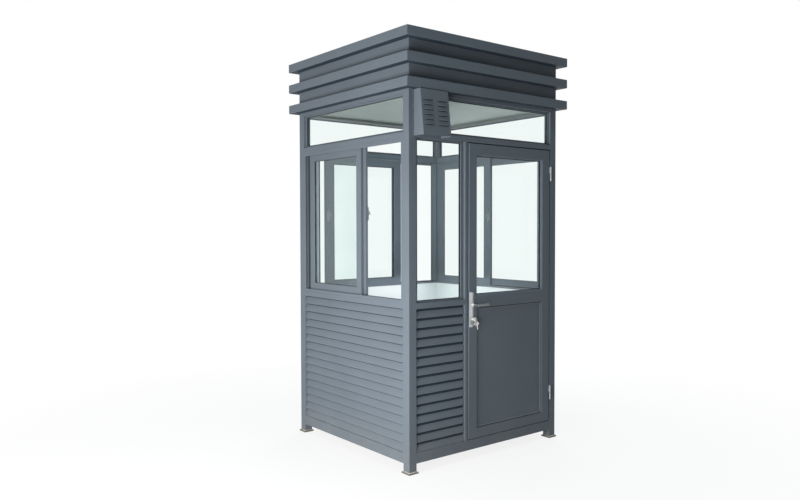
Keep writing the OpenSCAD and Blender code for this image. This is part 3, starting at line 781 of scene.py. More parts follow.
def louvre_wall(side, part, boards, trims, strip_h):
    low, high = on_wall(side, part)
    pitch = (high.z - low.z) / boards
    # Painted shade: a dark strip under each board's lip.
    first = lip_shade_strip(part + "_strip", low, high, pitch, strip_h)
    strips = climbing(first, "strip", boards, low.z, pitch)
    fit_on(side, part + "_shade_strips", strips, dark_shade_finish, "root", None)
    first = folded(part + "_board", (low.x, high.x), board_section(pitch), sheet_t)
    stack = climbing(first, "board", boards, low.z, pitch)
    with editing(stack[-1]):
        bpy.ops.mesh.bisect(plane_co=(0, 0, high.z), plane_no=(0, 0, 1), clear_outer=True, use_fill=True)
    backing = block(part + "_backing", (low.x, high.y - 3 * mm, low.z), (high.x, high.y, high.z))
    stack.append(round_edges(backing, 0.4 * mm, 1))
    fit_on(side, part + "_boards", stack, paint, "root", "frame_metal", part)
    for name, x in trims:
        trim = block(part + name, (x, 3.5 * mm, low.z), (x + trim_w, 25 * mm, high.z))
        fit_on(side, part + name, [round_edges(trim, 1.2 * mm)], paint, "root", "frame_metal")
    return pitch

trim_w, deep_strip, shallow_strip = 9 * mm, 17 * mm, 7 * mm
for side, boards in (("front", 15), ("left", 16), ("back", 15), ("right", 16)):
    part = side + "_louvres"
    low, high = on_wall(side, part)
    ends = [("_trim_a", low.x), ("_trim_b", high.x - trim_w)] if side != "front" else []
    strip_h = deep_strip if side in ("front", "back") else shallow_strip
    pitch = louvre_wall(side, part, boards, ends, strip_h)
    print(part, boards, "boards, pitch", round(pitch / mm, 1), "mm")

# %% [markdown]
# ## Linings
# Inside, a white board covers the lower walls, rounded along its edges, with a low skirting along its
# foot. The skirting is a block whose upper front edge alone is bevelled round.

# %% Linings
skirt_t, skirt_h = 5 * mm, 60 * mm
for side in ("front", "left", "back", "right"):
    part = side + "_lining"
    low, high = on_wall(side, part)
    fit_rounded(part, part + "_board", 1.0 * mm, laminate, "root", "white_lining")
    skirt = block("skirt", (low.x, high.y, low.z), (high.x, high.y + skirt_t, low.z + skirt_h))
    with editing(skirt):
        choose(skirt, "EDGE", lambda p, d: close(p.y, high.y + skirt_t) and close(p.z, low.z + skirt_h))
        bpy.ops.mesh.bevel(offset=4 * mm, segments=4, profile=0.3)
    fit_on(side, part + "_skirting", [round_edges(skirt, 0.6 * mm)], laminate, "root", "white_lining")
print("linings up to", round(high.z, 3))

# %% [markdown]
# ## Floor and ceiling
# The floor sheet has a shallow step near its rim, where it is laid over a filler strip: its top face is
# inset twice, and the second inset goes down. The ceiling has the same step underneath. Trim strips
# with an eased lower edge close the corner between ceiling and walls.

# %% Floor and ceiling
floor_top, ceiling_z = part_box("floor_panel")[1].z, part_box("ceiling_panel")[0].z
floor_sheet = rounded_copy("floor_panel", "floor_sheet_panel", 1.5 * mm)
with editing(floor_sheet):
    choose(floor_sheet, "FACE", lambda p, n: n.z > 0.9 and close(p.z, floor_top, mm)
           and abs(p.x) < 0.3)
    bpy.ops.mesh.inset(thickness=22 * mm)
    bpy.ops.mesh.inset(thickness=3 * mm, depth=-1.2 * mm)
fit(floor_sheet, vinyl, "root", "floor_sheet", "floor_panel")

ceiling = rounded_copy("ceiling_panel", "ceiling_sheet_panel", 1.0 * mm)
with editing(ceiling):
    choose(ceiling, "FACE", lambda p, n: n.z < -0.9 and close(p.z, ceiling_z, mm)
           and abs(p.x) < 0.3)
    bpy.ops.mesh.inset(thickness=40 * mm)
    bpy.ops.mesh.inset(thickness=4 * mm, depth=-2 * mm)
fit(ceiling, ceiling_painted_shade, "root", "white_lining", "ceiling_panel")

print("floor at", round(floor_top, 3), "ceiling at", round(ceiling_z, 3))

# %% Cornice
trim_low, trim_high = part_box("cornice_trim")
cornice_t = 15 * mm
cornices = []
for side, length in WALL_LENGTH.items():
    strip = block("cornice_" + side, (post_w, post_w, trim_low.z),
                  (length - post_w, post_w + cornice_t, trim_high.z))
    with editing(strip):
        choose(strip, "EDGE", lambda p, d: close(p.y, post_w + cornice_t) and close(p.z, trim_low.z))
        bpy.ops.mesh.bevel(offset=7 * mm, segments=5, profile=0.25)
    cornices.append(moved(round_edges(strip, 0.6 * mm), WALLS[side]))
fit(joined("cornice_strips", cornices), cornice_painted_shade, "root", "white_lining", "cornice_trim")
print("cornice", round((trim_high.z - trim_low.z) / mm), "mm high")

# %% [markdown]
# ## Sliding windows
# A sliding window is a shallow tray of a frame with a face flange outside, two ribbed tracks below and
# above, and two sashes that pass each other. The frame and sashes keep the plain parts' sections, with
# rounded edges. The tracks are thin ribs, a pair at each sash, and a brush pile closes the slot between
# the sashes. The pile could be thousands of hairs, but at its 7 mm it reads as a soft dark block.

# %% Frames and sashes
SIDES, SASHES = ("left", "back", "right"), ("_outer_sash", "_inner_sash")
tray_round, sash_round = 1.0 * mm, 1.4 * mm
for side in SIDES:
    fit_rounded(side + "_window_frame", side + "_window_tray", tray_round, paint, "root", "frame_metal")
    for sash in SASHES:
        fit_rounded(side + sash, side + sash + "_section", sash_round, paint, "root", "frame_metal")
print("windows:", SIDES)

# %% Brush pile
tray_web, pile_h = 12 * mm, 7 * mm

def brush_pile(side, low, high):
    """A block that fills the slot between two sashes and narrows to half its width at its top."""
    outer_high, inner_low = on_wall(side, side + "_outer_sash")[1], on_wall(side, side + "_inner_sash")[0]
    brush = block("brush", (low.x + tray_web, outer_high.y + 0.3 * mm, low.z + tray_web),
                  (high.x - tray_web, inner_low.y - 0.3 * mm, low.z + tray_web + pile_h))
    with editing(brush):
        choose(brush, "FACE", lambda p, n: n.z > 0.9)
        bpy.ops.transform.resize(value=(1, 0.5, 1))
    return brush

print("pile stands", pile_h / mm, "mm high")

# %% Tracks
rib_half, rib_off, rib_h = 0.8 * mm, 7.4 * mm, 1.4 * mm
for side in SIDES:
    low, high = on_wall(side, side + "_window_frame")
    ribs = []
    for sash in SASHES:
        sash_low, sash_high = on_wall(side, side + sash)
        middle = (sash_low.y + sash_high.y) / 2
        for z0, z1 in ((low.z + tray_web, low.z + tray_web + rib_h),
                       (sash_high.z + 0.4 * mm, high.z - tray_web)):
            for y in (middle - rib_off, middle + rib_off):
                ribs.append(round_edges(block("rib", (low.x + tray_web, y - rib_half, z0),
                                              (high.x - tray_web, y + rib_half, z1)), 0.4 * mm, 1))
    fit_on(side, side + "_track_ribs", ribs, bright_steel, "root", "frame_metal")
    fit_on(side, side + "_brush", [brush_pile(side, low, high)], dark_pile_and_shade, "root", None)
    print(side, "track ribs", len(ribs))

# %% [markdown]
# ### Jamb piles
# A closed sash hides the strips of pile that stand upright in its jamb. The left window's sashes are
# pushed away from one jamb, so the two strips there come into view. Their dark is partly the pile's own
# and partly painted shade, the shade in that jamb's track. Each is a block with soft edges.

# %% Jamb piles
low, high = on_wall("left", "left_window_frame")
jamb_x, pile_t = low.x + tray_web, 2.5 * mm
jamb_piles = []
for y0, y1 in ((3 * mm, 10 * mm), (33 * mm, 40 * mm)):
    upright = block("jamb_pile", (jamb_x, low.y + y0, low.z + tray_web),
                    (jamb_x + pile_t, low.y + y1, high.z - tray_web))
    jamb_piles.append(round_edges(upright, 0.8 * mm))
fit_on("left", "left_jamb_piles", jamb_piles, dark_pile_and_shade, "root", None)
print("jamb piles:", len(jamb_piles))

# %% [markdown]
# ### Gaskets and beads
# A pane is held between two rubber gaskets, and on a sash a sloping aluminium bead clips in outside
# them. Both are rings. The gasket's edge is rounded and laps the glass. The bead's inner edge is moved
# toward the glass, which makes its face slope and catch the light on one side.

# %% Gasket and bead tools
half_glass, gasket_t = 2.5 * mm, 3 * mm

def gaskets_round(x, z, middle, width, radius):
    """A rubber ring on each face of a pane whose middle plane is known."""
    faces = ((middle - half_glass - gasket_t, middle - half_glass),
             (middle + half_glass, middle + half_glass + gasket_t))
    return [ring("gasket", x, y, z, width, radius) for y in faces]

def glaze(name, side, sash, stile, rail):
    """Fits a pane's gaskets, and gives the clear opening and the pane's middle plane."""
    low, high = on_wall(side, sash)
    x, z = (low.x + stile, high.x - stile), (low.z + rail, high.z - rail)
    middle = (low.y + high.y) / 2
    fit_on(side, name + "_gaskets", gaskets_round(x, z, middle, 4.5 * mm, 1.1 * mm), rubber, "root", None)
    return x, z, middle

def bead(name, side, x, z, near, far, width, finish, body):
    """A glazing bead: a ring whose inner edge slopes down to the gasket."""
    piece = ring(name, x, (min(near, far), max(near, far)), z, width)
    half = width / 2
    with editing(piece):
        choose(piece, "VERT", lambda p: x[0] + half < p.x < x[1] - half
               and z[0] + half < p.z < z[1] - half and close(p.y, near))
        bpy.ops.transform.translate(value=(0, (far - near) * 0.55, 0))
    return fit_on(side, name, [round_edges(piece, 0.5 * mm)], finish, body, "frame_metal")

print("a gasket is", gasket_t / mm, "mm deep")

# %% Glazing the sashes
sash_stile, sash_rail = {"left": 54 * mm, "back": 66 * mm, "right": 66 * mm}, 52 * mm
bead_in, bead_w, bead_foot = 1.2 * mm, 3.4 * mm, 4.5 * mm
for side in SIDES:
    for sash in SASHES:
        x, z, middle = glaze(side + sash, side, side + sash, sash_stile[side], sash_rail)
        low, high = on_wall(side, side + sash)
        for face, near, far in (("_out", low.y + bead_in, middle - bead_foot),
                                ("_in", high.y - bead_in, middle + bead_foot)):
            bead(side + sash + "_bead" + face, side, x, z, near, far, bead_w, paint, "root")
x, z, middle = glaze("front_window", "front", "front_window_frame", 22 * mm, 10 * mm)
print("sashes glazed; a pane is", round((x[1] - x[0]) / mm), "by", round((z[1] - z[0]) / mm), "mm")

# %% [markdown]
# ### Clerestory and panes
# The strip of glass round the top sits in plain frames, with gaskets and no beads. The panes themselves
# are flat slabs that are already right, so they keep their own meshes and only take the glass.

# %% Clerestory gaskets
low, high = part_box("clerestory_frames")
border, pane_y = 10 * mm, 30 * mm
z = (low.z + border, high.z - border)
for side, length in WALL_LENGTH.items():
    x = (post_w + border, length - post_w - border)
    gaskets = gaskets_round(x, z, pane_y, 4 * mm, 1 * mm)
    fit_on(side, "clerestory_gaskets_" + side, gaskets, rubber, "root", None)
print("clerestory", round((z[1] - z[0]) / mm), "mm of clear glass")

# %% Panes
for part in ("front_window_glass", "left_window_glass", "back_window_glass", "right_window_glass",
             "clerestory_glass", "door_glass"):
    finish_part(part, glass)
print("panes finished")

# %% [markdown]
# ### Crescent catches
# A crescent catch is a cast lever on a long base plate: a half-moon cam swings behind the other sash
# and a tapering thumb grip stands up from it. The base is a block with rounded ends and a shallow line
# pressed along its rim. The boss and cam are turned, the cam loses the half that a bisect clears, and
# the grip is a block whose tip is narrowed twice. The screws' slots are punched.

# %% Screw head
def screw_head(name, radius, matrix):
    """A raised screw head with a slot across it, standing up its own z axis."""
    head = turned(name, [(radius, 0), (radius, 0.35 * radius), (radius * 0.8, 0.62 * radius),
                         (radius * 0.42, 0.74 * radius)], 20)
    slot = block("slot", (-radius * 1.2, -radius * 0.13, 0.45 * radius),
                 (radius * 1.2, radius * 0.13, radius))
    return moved(punch(head, [slot]), matrix)

INWARD = Matrix.Rotation(radians(-90), 4, "X")     # turns +z to +y, into the room
print("screw tool ready")

# %% Catch's base
catch_low, catch_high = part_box("window_catches")
catch_z = (catch_low.z + catch_high.z) / 2
base = block("catch_base", *in_mm((-11, 0, -42), (11, 8, 42)))
with editing(base):
    choose(base, "EDGE", lambda p, d: abs(d.y) > 0.9)
    bpy.ops.mesh.bevel(offset=9 * mm, segments=6)
    choose(base, "FACE", lambda p, n: n.y > 0.9)
    bpy.ops.mesh.inset(thickness=2 * mm, depth=1 * mm)
base = round_edges(base, 0.6 * mm)
with editing(base):
    choose(base, "VERT", lambda p: p.y > 8 * mm)
    bpy.ops.transform.translate(value=(0, -1 * mm, 0))
print("catches at", round(catch_z, 3))

# %% Catch's cam, boss and grip
cam = turned("catch_cam", in_mm((20, 7), (22, 8.2), (22, 12.6), (19.5, 14), (6, 14)), 44, INWARD)
with editing(cam):
    bpy.ops.mesh.bisect(plane_co=(0, 0, -5 * mm), plane_no=(0, 0, -1), clear_outer=True, use_fill=True)
boss = turned("catch_boss", in_mm((9, 6), (9, 12), (7.5, 13.6), (4, 14)), 28, INWARD)
grip = block("catch_grip", *in_mm((-5, 8.5, 4), (5, 13.5, 40)))
with editing(grip):
    choose(grip, "FACE", lambda p, n: n.z > 0.9)
    bpy.ops.transform.resize(value=(0.72, 0.8, 1))
    bpy.ops.mesh.extrude_region_move(TRANSFORM_OT_translate={"value": (0, 0, 8 * mm)})
    bpy.ops.transform.resize(value=(0.7, 0.7, 1))
grip = round_edges(grip, 1.6 * mm, 3)
screws = [screw_head("catch_screw", 3.2 * mm, shift(0, 8 * mm, z) @ INWARD)
          for z in (-33 * mm, 33 * mm)]
catch = joined("catch", [base, round_edges(cam, 0.6 * mm), round_edges(boss, 0.5 * mm), grip] + screws)
print("catch made with", len(screws), "screws")

# %% Catch on each window
places = []
for side in SIDES:
    low, high = on_wall(side, side + "_inner_sash")
    x = low.x + 12 * mm if side == "right" else high.x - 12 * mm
    places.append(WALLS[side] @ shift(x, high.y, catch_z))
fit(joined("crescent_catches", spread(catch, "catch_copy", places)), dull_steel, "root", "bare_steel",
    "window_catches")
print("catches on", len(places), "windows")

# %% [markdown]
# ## Door
# The door is a hollow-section leaf hung in front of its stops. Its lock edge has a broad chamfer, which
# is bevelled first, alone, and then every edge gets the fine rounding. The glass above and the flat
# panel below are their own parts, and so are the stops that the leaf closes on.

# %% Leaf
leaf_low, leaf_high = on_wall("front", "door_leaf_frame")
leaf = moved(clean_copy("door_leaf_frame", "door_leaf_sections"), WALLS["front"].inverted())
chamfer = 9 * mm
with editing(leaf):
    chamfered = choose(leaf, "EDGE", lambda p, d: close(p.x, leaf_low.x) and close(p.y, leaf_low.y)
                       and abs(d.z) > 0.9)
    bpy.ops.mesh.bevel(offset=chamfer, segments=1)
leaf = moved(round_edges(leaf, 1.4 * mm), WALLS["front"])
fit(leaf, paint, "door", "frame_metal", "door_leaf_frame")
fit_rounded("door_panel", "door_lower_panel", 0.8 * mm, paint, "door", "frame_metal")
fit_rounded("door_stops", "door_stop_sections", 1.2 * mm, paint, "root", "frame_metal")
print("leaf", round((leaf_high.x - leaf_low.x) / mm), "by", round((leaf_high.z - leaf_low.z) / mm),
      "mm, chamfered edges:", chamfered)

# %% [markdown]
# ### Beads and gaskets of the leaf
# The glass sits in sloping beads with a rubber gasket on each face. The panel's outer bead is set in from
# the leaf by a narrow groove with a rubber line at its bottom, which shows as a dark line: its black is
# partly the gasket's own and partly painted shade in the groove.

# %% Leaf's glass and panel beads
leaf_stile = 72 * mm
glass_low, glass_high = on_wall("front", "door_glass")
panel_low, panel_high = on_wall("front", "door_panel")
bite = 6 * mm
light_x = (leaf_low.x + leaf_stile, leaf_high.x - leaf_stile)
light_z = (glass_low.z + bite, glass_high.z - bite)
panel_z = (panel_low.z + bite, panel_high.z - bite)
groove = 5 * mm
groove_x, groove_z = [(a + groove, b - groove) for a, b in (light_x, panel_z)]
# The rubber line's black is partly painted shade in the groove.
line = ring("line", light_x, (panel_low.y - groove, panel_low.y), panel_z, groove, 0.8 * mm)
fit_on("front", "door_panel_gasket", [line], rubber, "door", None)
gaskets = [ring("gasket", light_x, y, light_z, 13 * mm, 1.1 * mm)
           for y in ((glass_low.y - gasket_t, glass_low.y), (glass_high.y, glass_high.y + gasket_t))]
fit_on("front", "door_glass_gaskets", gaskets, rubber, "door", None)
for name, x, z, near, far in (
        ("door_glass_bead_out", light_x, light_z, leaf_low.y + 2.5 * mm, glass_low.y - 2.5 * mm),
        ("door_glass_bead_in", light_x, light_z, leaf_high.y - 2.5 * mm, glass_high.y + 2.5 * mm),
        ("door_panel_bead_out", groove_x, groove_z, leaf_low.y + 6 * mm, panel_low.y),
        ("door_panel_bead_in", light_x, panel_z, leaf_high.y - 4 * mm, panel_high.y)):
    bead(name, "front", x, z, near, far, 9 * mm, paint, "door")
print("glass light", round((light_z[1] - light_z[0]) / mm), "mm high, panel",
      round((panel_z[1] - panel_z[0]) / mm), "mm high")

# %% [markdown]
# ### Seal on the stops
# A soft seal is pressed into the stops, up one side, across the head and down the other. It is drawn as
# a full ring that reaches below the stops, and a bisect then takes its foot away.

# %% Seal on the stops
stop_low, stop_high = on_wall("front", "door_stops")
seal_edge, seal_t, below = 4 * mm, 4.2 * mm, 30 * mm
seal = ring("seal", (stop_low.x + seal_edge, stop_high.x - seal_edge), (stop_low.y - seal_t, stop_low.y),
            (stop_low.z - below, stop_high.z - seal_edge), 6 * mm, 1.6 * mm)
with editing(seal):
    bpy.ops.mesh.bisect(plane_co=(0, 0, stop_low.z + 1 * mm), plane_no=(0, 0, -1), clear_outer=True,
                        use_fill=True)
fit_on("front", "door_stop_seal", [seal], rubber, "root", None)
print("seal round the stops,", round((stop_high.z - stop_low.z) / mm), "mm high")

# %% [markdown]
# ### Hinges
# Each lift-off hinge has two barrels on one pin. The lower barrel is welded to the post by a flag and
# the upper one to the leaf, so the door can be lifted away. A barrel is turned with small rounded
# shoulders, the upper one ends in a flattened finial, and the two flags are bevelled plates.

# %% Hinge sizes
hinge_low, hinge_high = on_wall("front", "post_hinge_halves")
swing_low, swing_high = on_wall("front", "door_hinge_halves")
barrel_r = 7 * mm
pivot_x = swing_high.x - barrel_r
pivot_y = swing_low.y + barrel_r
hinge_gap = 1 * mm
half_high = swing_low.z - hinge_low.z - hinge_gap
feet_of_hinges = (hinge_low.z, swing_high.z - 2 * half_high - hinge_gap)
flag_t = 4 * mm
print("hinges at", [round(z, 3) for z in feet_of_hinges], "barrel", round(half_high / mm, 1), "mm")

# %% Hinges
lower, upper = [], []
for z in feet_of_hinges:
    seat = shift(pivot_x, pivot_y, z)
    lower.append(turned("barrel", [(5.4 * mm, 0), (barrel_r, 1.6 * mm), (barrel_r, half_high - 1.2 * mm),
                                   (6.2 * mm, half_high - 0.4 * mm), (5.2 * mm, half_high)], 40, seat))
    lower.append(turned("pin", [(3.5 * mm, 0), (3.5 * mm, half_high + 6 * mm)], 24, seat))
    flag = block("flag", (pivot_x, -flag_t, z), (hinge_high.x, 0, z + half_high))
    lower.append(round_edges(flag, 1 * mm))
    top = shift(pivot_x, pivot_y, z + half_high + hinge_gap)
    upper.append(turned("barrel", [(5.2 * mm, 0), (6.2 * mm, 0.4 * mm), (barrel_r, 1.2 * mm),
                                   (barrel_r, half_high - 5 * mm), (5.2 * mm, half_high - 4 * mm),
                                   (5.8 * mm, half_high - 2.4 * mm), (4 * mm, half_high - 0.6 * mm),
                                   (1.5 * mm, half_high)], 40, top))
    flag = block("flag", (swing_low.x, leaf_low.y - flag_t, z + half_high + hinge_gap),
                 (pivot_x, leaf_low.y, z + 2 * half_high + hinge_gap - 5 * mm))
    upper.append(round_edges(flag, 1 * mm))
fit_on("front", "hinge_lower_barrels", lower, dull_steel, "root", "bare_steel", "post_hinge_halves")
fit_on("front", "hinge_upper_barrels", upper, dull_steel, "door", "bare_steel", "door_hinge_halves")
print("hinge pieces:", len(lower), "on the post and", len(upper), "on the door")

# %% [markdown]
# ### Lock plates
# The outer lock plate is pressed into a shallow roof: a broad facet to the left of a ridge and a narrower
# one to its right. A block is bisected at the ridge and the new edge is drawn outward. The back left
# corner goes down into the leaf's chamfer, as the pressing's return does. The plate is parted at its
# ridge: the left half keeps the satin steel, and the right half takes a darker copy whose colour is
# painted shade, standing for the dark surroundings that the right facet mirrors. The inner plate is flat
# with a raised border. Slotted screws hold both.

# %% Outer plate
plates_low, plates_high = on_wall("front", "lock_plates")
lever_low, lever_high = on_wall("front", "door_lever")
spindle_x = lever_low.x + (lever_high.z - lever_low.z) / 2
spindle_z = (lever_low.z + lever_high.z) / 2
ridge_x = plates_low.x + 26 * mm
ridge_out = 5 * mm

plate = block("lock_plate_outer", plates_low, (plates_high.x, leaf_low.y, plates_high.z))
with editing(plate):
    bpy.ops.mesh.bisect(plane_co=(ridge_x, 0, 0), plane_no=(1, 0, 0))
    choose(plate, "VERT", lambda p: close(p.x, ridge_x) and close(p.y, plates_low.y))
    bpy.ops.transform.translate(value=(0, -ridge_out, 0))
    choose(plate, "VERT", lambda p: close(p.x, plates_low.x) and close(p.y, leaf_low.y))
    bpy.ops.transform.translate(value=(0, chamfer, 0))
plate = round_edges(plate, 1.0 * mm)
# The right half takes the darker steel, whose colour is painted shade.
cover = copied(plate, "cover")
for half, side in ((plate, 1), (cover, -1)):
    with editing(half):
        bpy.ops.mesh.bisect(plane_co=(ridge_x, 0, 0), plane_no=(side, 0, 0), clear_outer=True,
                            use_fill=True)
print("ridge", round((ridge_x - plates_low.x) / mm), "mm from the plate's left edge")

# %% Inner plate
inner = block("lock_plate_inner", (plates_low.x, leaf_high.y, plates_low.z), plates_high)
with editing(inner):
    choose(inner, "FACE", lambda p, n: n.y > 0.9)
    bpy.ops.mesh.inset(thickness=3 * mm)
    bpy.ops.mesh.inset(thickness=0.8 * mm, depth=-0.7 * mm)
inner = round_edges(inner, 0.6 * mm)
fit_on("front", "lock_plates_pressed", [plate, inner], satin_steel, "door", "bare_steel", "lock_plates")
fit_on("front", "lock_plate_right_half_shade", [cover], painted_shade_steel, "door", "bare_steel")
print("plate", round((plates_high.x - plates_low.x) / mm), "by",
      round((plates_high.z - plates_low.z) / mm), "mm")

# %% Roses and screws
screw_x, outer_y, inner_y = ridge_x + 10 * mm, plates_low.y - 2.4 * mm, plates_high.y - 0.8 * mm
screw_heights = (plates_low.z + 13 * mm, plates_high.z - 13 * mm)
screws = [screw_head("plate_screw", 3.4 * mm, shift(screw_x, outer_y, z) @ OUTWARD)
          for z in screw_heights]
screws += [screw_head("plate_screw", 3.2 * mm, shift(spindle_x, inner_y, z) @ INWARD)
           for z in screw_heights]
deep_rose = in_mm((12.5, 0), (12.5, 6.4), (11.4, 7.6), (9.4, 8))
flat_rose = in_mm((12.5, 0), (12.5, 2.2), (11, 3), (9.4, 3.2))
roses = [turned("rose", deep_rose, 40, shift(spindle_x, plates_low.y, spindle_z) @ OUTWARD),
         turned("rose", flat_rose, 40, shift(spindle_x, inner_y, spindle_z) @ INWARD)]
fit_on("front", "lock_plate_roses", roses, bright_steel, "door", "bare_steel")
fit_on("front", "lock_plate_screws", screws, zinc_screw, "door", "bare_steel")
print("roses", len(roses), "screws", len(screws))

# %% [markdown]
# ### Lever
# A lever handle is a tapering neck that flares into a flat arm. The neck is turned and polished. The arm
# is a block whose blind end is bevelled round, narrowed slightly at its waist and set back a little at
# its squared tip, and then softened all over so that it rolls in the light. The arm takes the darker
# steel whose colour is painted shade, as the plate's right facet does. A square spindle joins the two
# halves through the leaf.

# %% Lever
def lever_half(facing):
    """The neck and arm of the outer half for facing -1 and of the room half for +1."""
    plate_face = plates_low.y if facing < 0 else plates_high.y
    far = lever_low.y if facing < 0 else lever_high.y
    near = far - facing * 12 * mm
    out = abs(near - plate_face)
    neck = turned("neck", [(8.6 * mm, -1 * mm), (8.6 * mm, 9 * mm), (7.6 * mm, 16 * mm),
                           (7.0 * mm, out * 0.6), (7.6 * mm, out * 0.85), (8.8 * mm, out + 2 * mm)], 36,
                  shift(spindle_x, plate_face, spindle_z) @ (OUTWARD if facing < 0 else INWARD))
    arm = block("arm", (lever_low.x, min(near, far), lever_low.z),
                (lever_high.x, max(near, far), lever_high.z))
    waist = lever_low.x + 45 * mm
    before, beyond = waist - 16 * mm, waist + 22 * mm
    with editing(arm):
        choose(arm, "EDGE", lambda p, d: close(p.x, lever_low.x) and abs(d.y) > 0.9)
        bpy.ops.mesh.bevel(offset=7.5 * mm, segments=6)
        for x in (before, waist, beyond):
            bpy.ops.mesh.select_all(action="SELECT")
            bpy.ops.mesh.bisect(plane_co=(x, 0, 0), plane_no=(1, 0, 0))
        choose(arm, "VERT", lambda p: close(p.x, waist))
        bpy.ops.transform.resize(value=(1, 1, 0.86), center_override=(waist, 0, spindle_z))
        choose(arm, "VERT", lambda p: close(p.x, before) or close(p.x, beyond))
        bpy.ops.transform.resize(value=(1, 1, 0.91), center_override=(waist, 0, spindle_z))
        choose(arm, "VERT", lambda p: close(p.x, lever_high.x) and (p.y - (near + far) / 2) * facing > 0)
        bpy.ops.transform.translate(value=(0, -facing * 2.5 * mm, 0))
    return round_edges(neck, 0.6 * mm, 1), round_edges(arm, 2.2 * mm, 3)

print("arm from", round(lever_low.x, 3), "to", round(lever_high.x, 3))

# %% Both halves and spindle
half_spindle = 4 * mm
spindle = block("spindle", (spindle_x - half_spindle, plates_low.y, spindle_z - half_spindle),
                (spindle_x + half_spindle, plates_high.y, spindle_z + half_spindle))
(outer_neck, outer_arm), (inner_neck, inner_arm) = lever_half(-1), lever_half(1)
# The arms take the steel whose dark colour is painted shade.
fit_on("front", "door_lever_arms", [outer_arm, inner_arm], painted_shade_steel, "lever", "bare_steel",
       "door_lever")
fit_on("front", "door_lever_necks", [outer_neck, inner_neck, round_edges(spindle, 0.5 * mm)],
       bright_steel, "lever", "bare_steel")
print("lever arm", round((lever_high.x - spindle_x) / mm), "mm from its spindle")

# %% [markdown]
# ### Cylinder and keys
# A key stands in the cylinder, and a split ring in its bow carries a round tag and a second key. A key
# is flat: its bow is a turned disc punched with holes, and its blade is a thin block with notches cut
# along one edge. The second key is a copy of the first, hung from the ring and swung to one side.

# %% One key
SIDEWAYS = Matrix.Rotation(radians(90), 4, "Y")    # turns +z to +x
key_t, bow_r = 2.4 * mm, 14.5 * mm

def flat_key(name, blade):
    """A key with its bow's middle at the origin and its blade along +y, key_t thick along x."""
    rim, ease = bow_r - 0.6 * mm, 0.5 * mm
    bow = turned(name, [(rim, 0), (bow_r, ease), (bow_r, key_t - ease), (rim, key_t)], 36,
                 shift(-key_t / 2) @ SIDEWAYS)
    with editing(bow):
        bpy.ops.transform.resize(value=(1, 0.86, 1.04))
    punch(bow, [turned("hole", [(r, -5 * mm), (r, 5 * mm)], 20, shift(0, y, z) @ SIDEWAYS)
                for r, y, z in ((3.6 * mm, -7.2 * mm, 0), (1.7 * mm, 2 * mm, 6 * mm),
                                (1.7 * mm, 2 * mm, -6 * mm))])
    stem = block("stem", (-key_t / 2, 10 * mm, -4.2 * mm), (key_t / 2, blade, 4.2 * mm))
    with editing(stem):
        choose(stem, "FACE", lambda p, n: n.y > 0.9)
        bpy.ops.transform.resize(value=(0.8, 1, 0.6))
    notches = []
    for i in range(5):
        y, deep = 13 * mm + i * (blade - 15 * mm) / 5, (1.6 + 0.9 * (i * 3 % 4)) * mm
        notch = block("notch", (-5 * mm, y, 4.4 * mm - deep), (5 * mm, y + 2.6 * mm, 8 * mm))
        with editing(notch):
            choose(notch, "FACE", lambda p, n: n.z < -0.9)
            bpy.ops.transform.resize(value=(1, 0.4, 1))
        notches.append(notch)
    punch(stem, notches)
    return joined(name, [bow, stem])

print("a key's bow is", 2 * bow_r / mm, "mm across")

# %% Cylinder
hung_r = 12 * mm
cylinder_z = on_wall("front", "lock_keys")[1].z - hung_r
bow_y = plates_low.y - 28 * mm
nose = turned("nose", in_mm((9, 0), (9, 7.2), (8.2, 8.4), (6, 8.8)), 36,
              shift(spindle_x, plates_low.y, cylinder_z) @ OUTWARD)
with editing(nose):
    bpy.ops.transform.resize(value=(0.9, 1, 1.3), center_override=(spindle_x, 0, cylinder_z))

def from_bow(x, y, z, turn=0):
    """A place beside the bow of the key in the cylinder, turned about z by some degrees."""
    place = shift(spindle_x + x * mm, bow_y + y * mm, cylinder_z + z * mm)
    return place @ Matrix.Rotation(radians(turn), 4, "Z")

print("cylinder at", round(cylinder_z, 3))

# %% Keys and split ring
keys = spread(flat_key("key", 40 * mm), "key_copy",
              [from_bow(0, 0, 0), from_bow(4, -7, -25, 50) @ Matrix.Rotation(radians(-101), 4, "X")])
bpy.ops.object.select_all(action="DESELECT")
bpy.ops.mesh.primitive_torus_add(major_radius=13 * mm, minor_radius=1.0 * mm, major_segments=40,
                                 minor_segments=10, location=from_bow(1, -6.2, -10.5).translation,
                                 rotation=(radians(90), 0, radians(12)))
split_ring = fix_place(bpy.context.object)
with editing(split_ring):
    choose(split_ring, "VERT", lambda p: p.z < cylinder_z - 18 * mm)
    bpy.ops.transform.resize(value=(1, 1.5, 1.05))
print("keys", len(keys))

# %% Tag
tag = turned("tag", in_mm((10.2, 0), (11, 0.6), (11, 1.9), (10.2, 2.5)), 40,
             from_bow(-3.4, -5, -26, 60) @ Matrix.Rotation(radians(9), 4, "Y") @ SIDEWAYS)
punch(tag, [turned("hole", in_mm((2.6, -9), (2.6, 9)), 20,
                   from_bow(-2, -5, -19.5, 60) @ SIDEWAYS)])
fit_on("front", "cylinder_nose", [round_edges(nose, 0.5 * mm)], bright_steel, "door", "bare_steel")
fit_on("front", "keys_ring_and_tag", keys + [split_ring, tag], key_nickel, "door", "bare_steel",
       "lock_keys")

# %% [markdown]
# ## Canopy
# Three box bands stand out from a plain fascia. Real bands are lengths of box section cut at 45 degrees
# and welded at the corners, so each side's bar is made with its outer face drawn longer than its inner
# one, and the rounding then leaves a fine line along each mitre. A thin dark strip is let into the
# underside of each band, a little behind its face: it is painted shade, the dark line that a band's
# shaded underside shows.

# %% Bands
band_round, shade_set_back, shade_rise, shade_drop = 2.2 * mm, 3 * mm, 5 * mm, 0.6 * mm

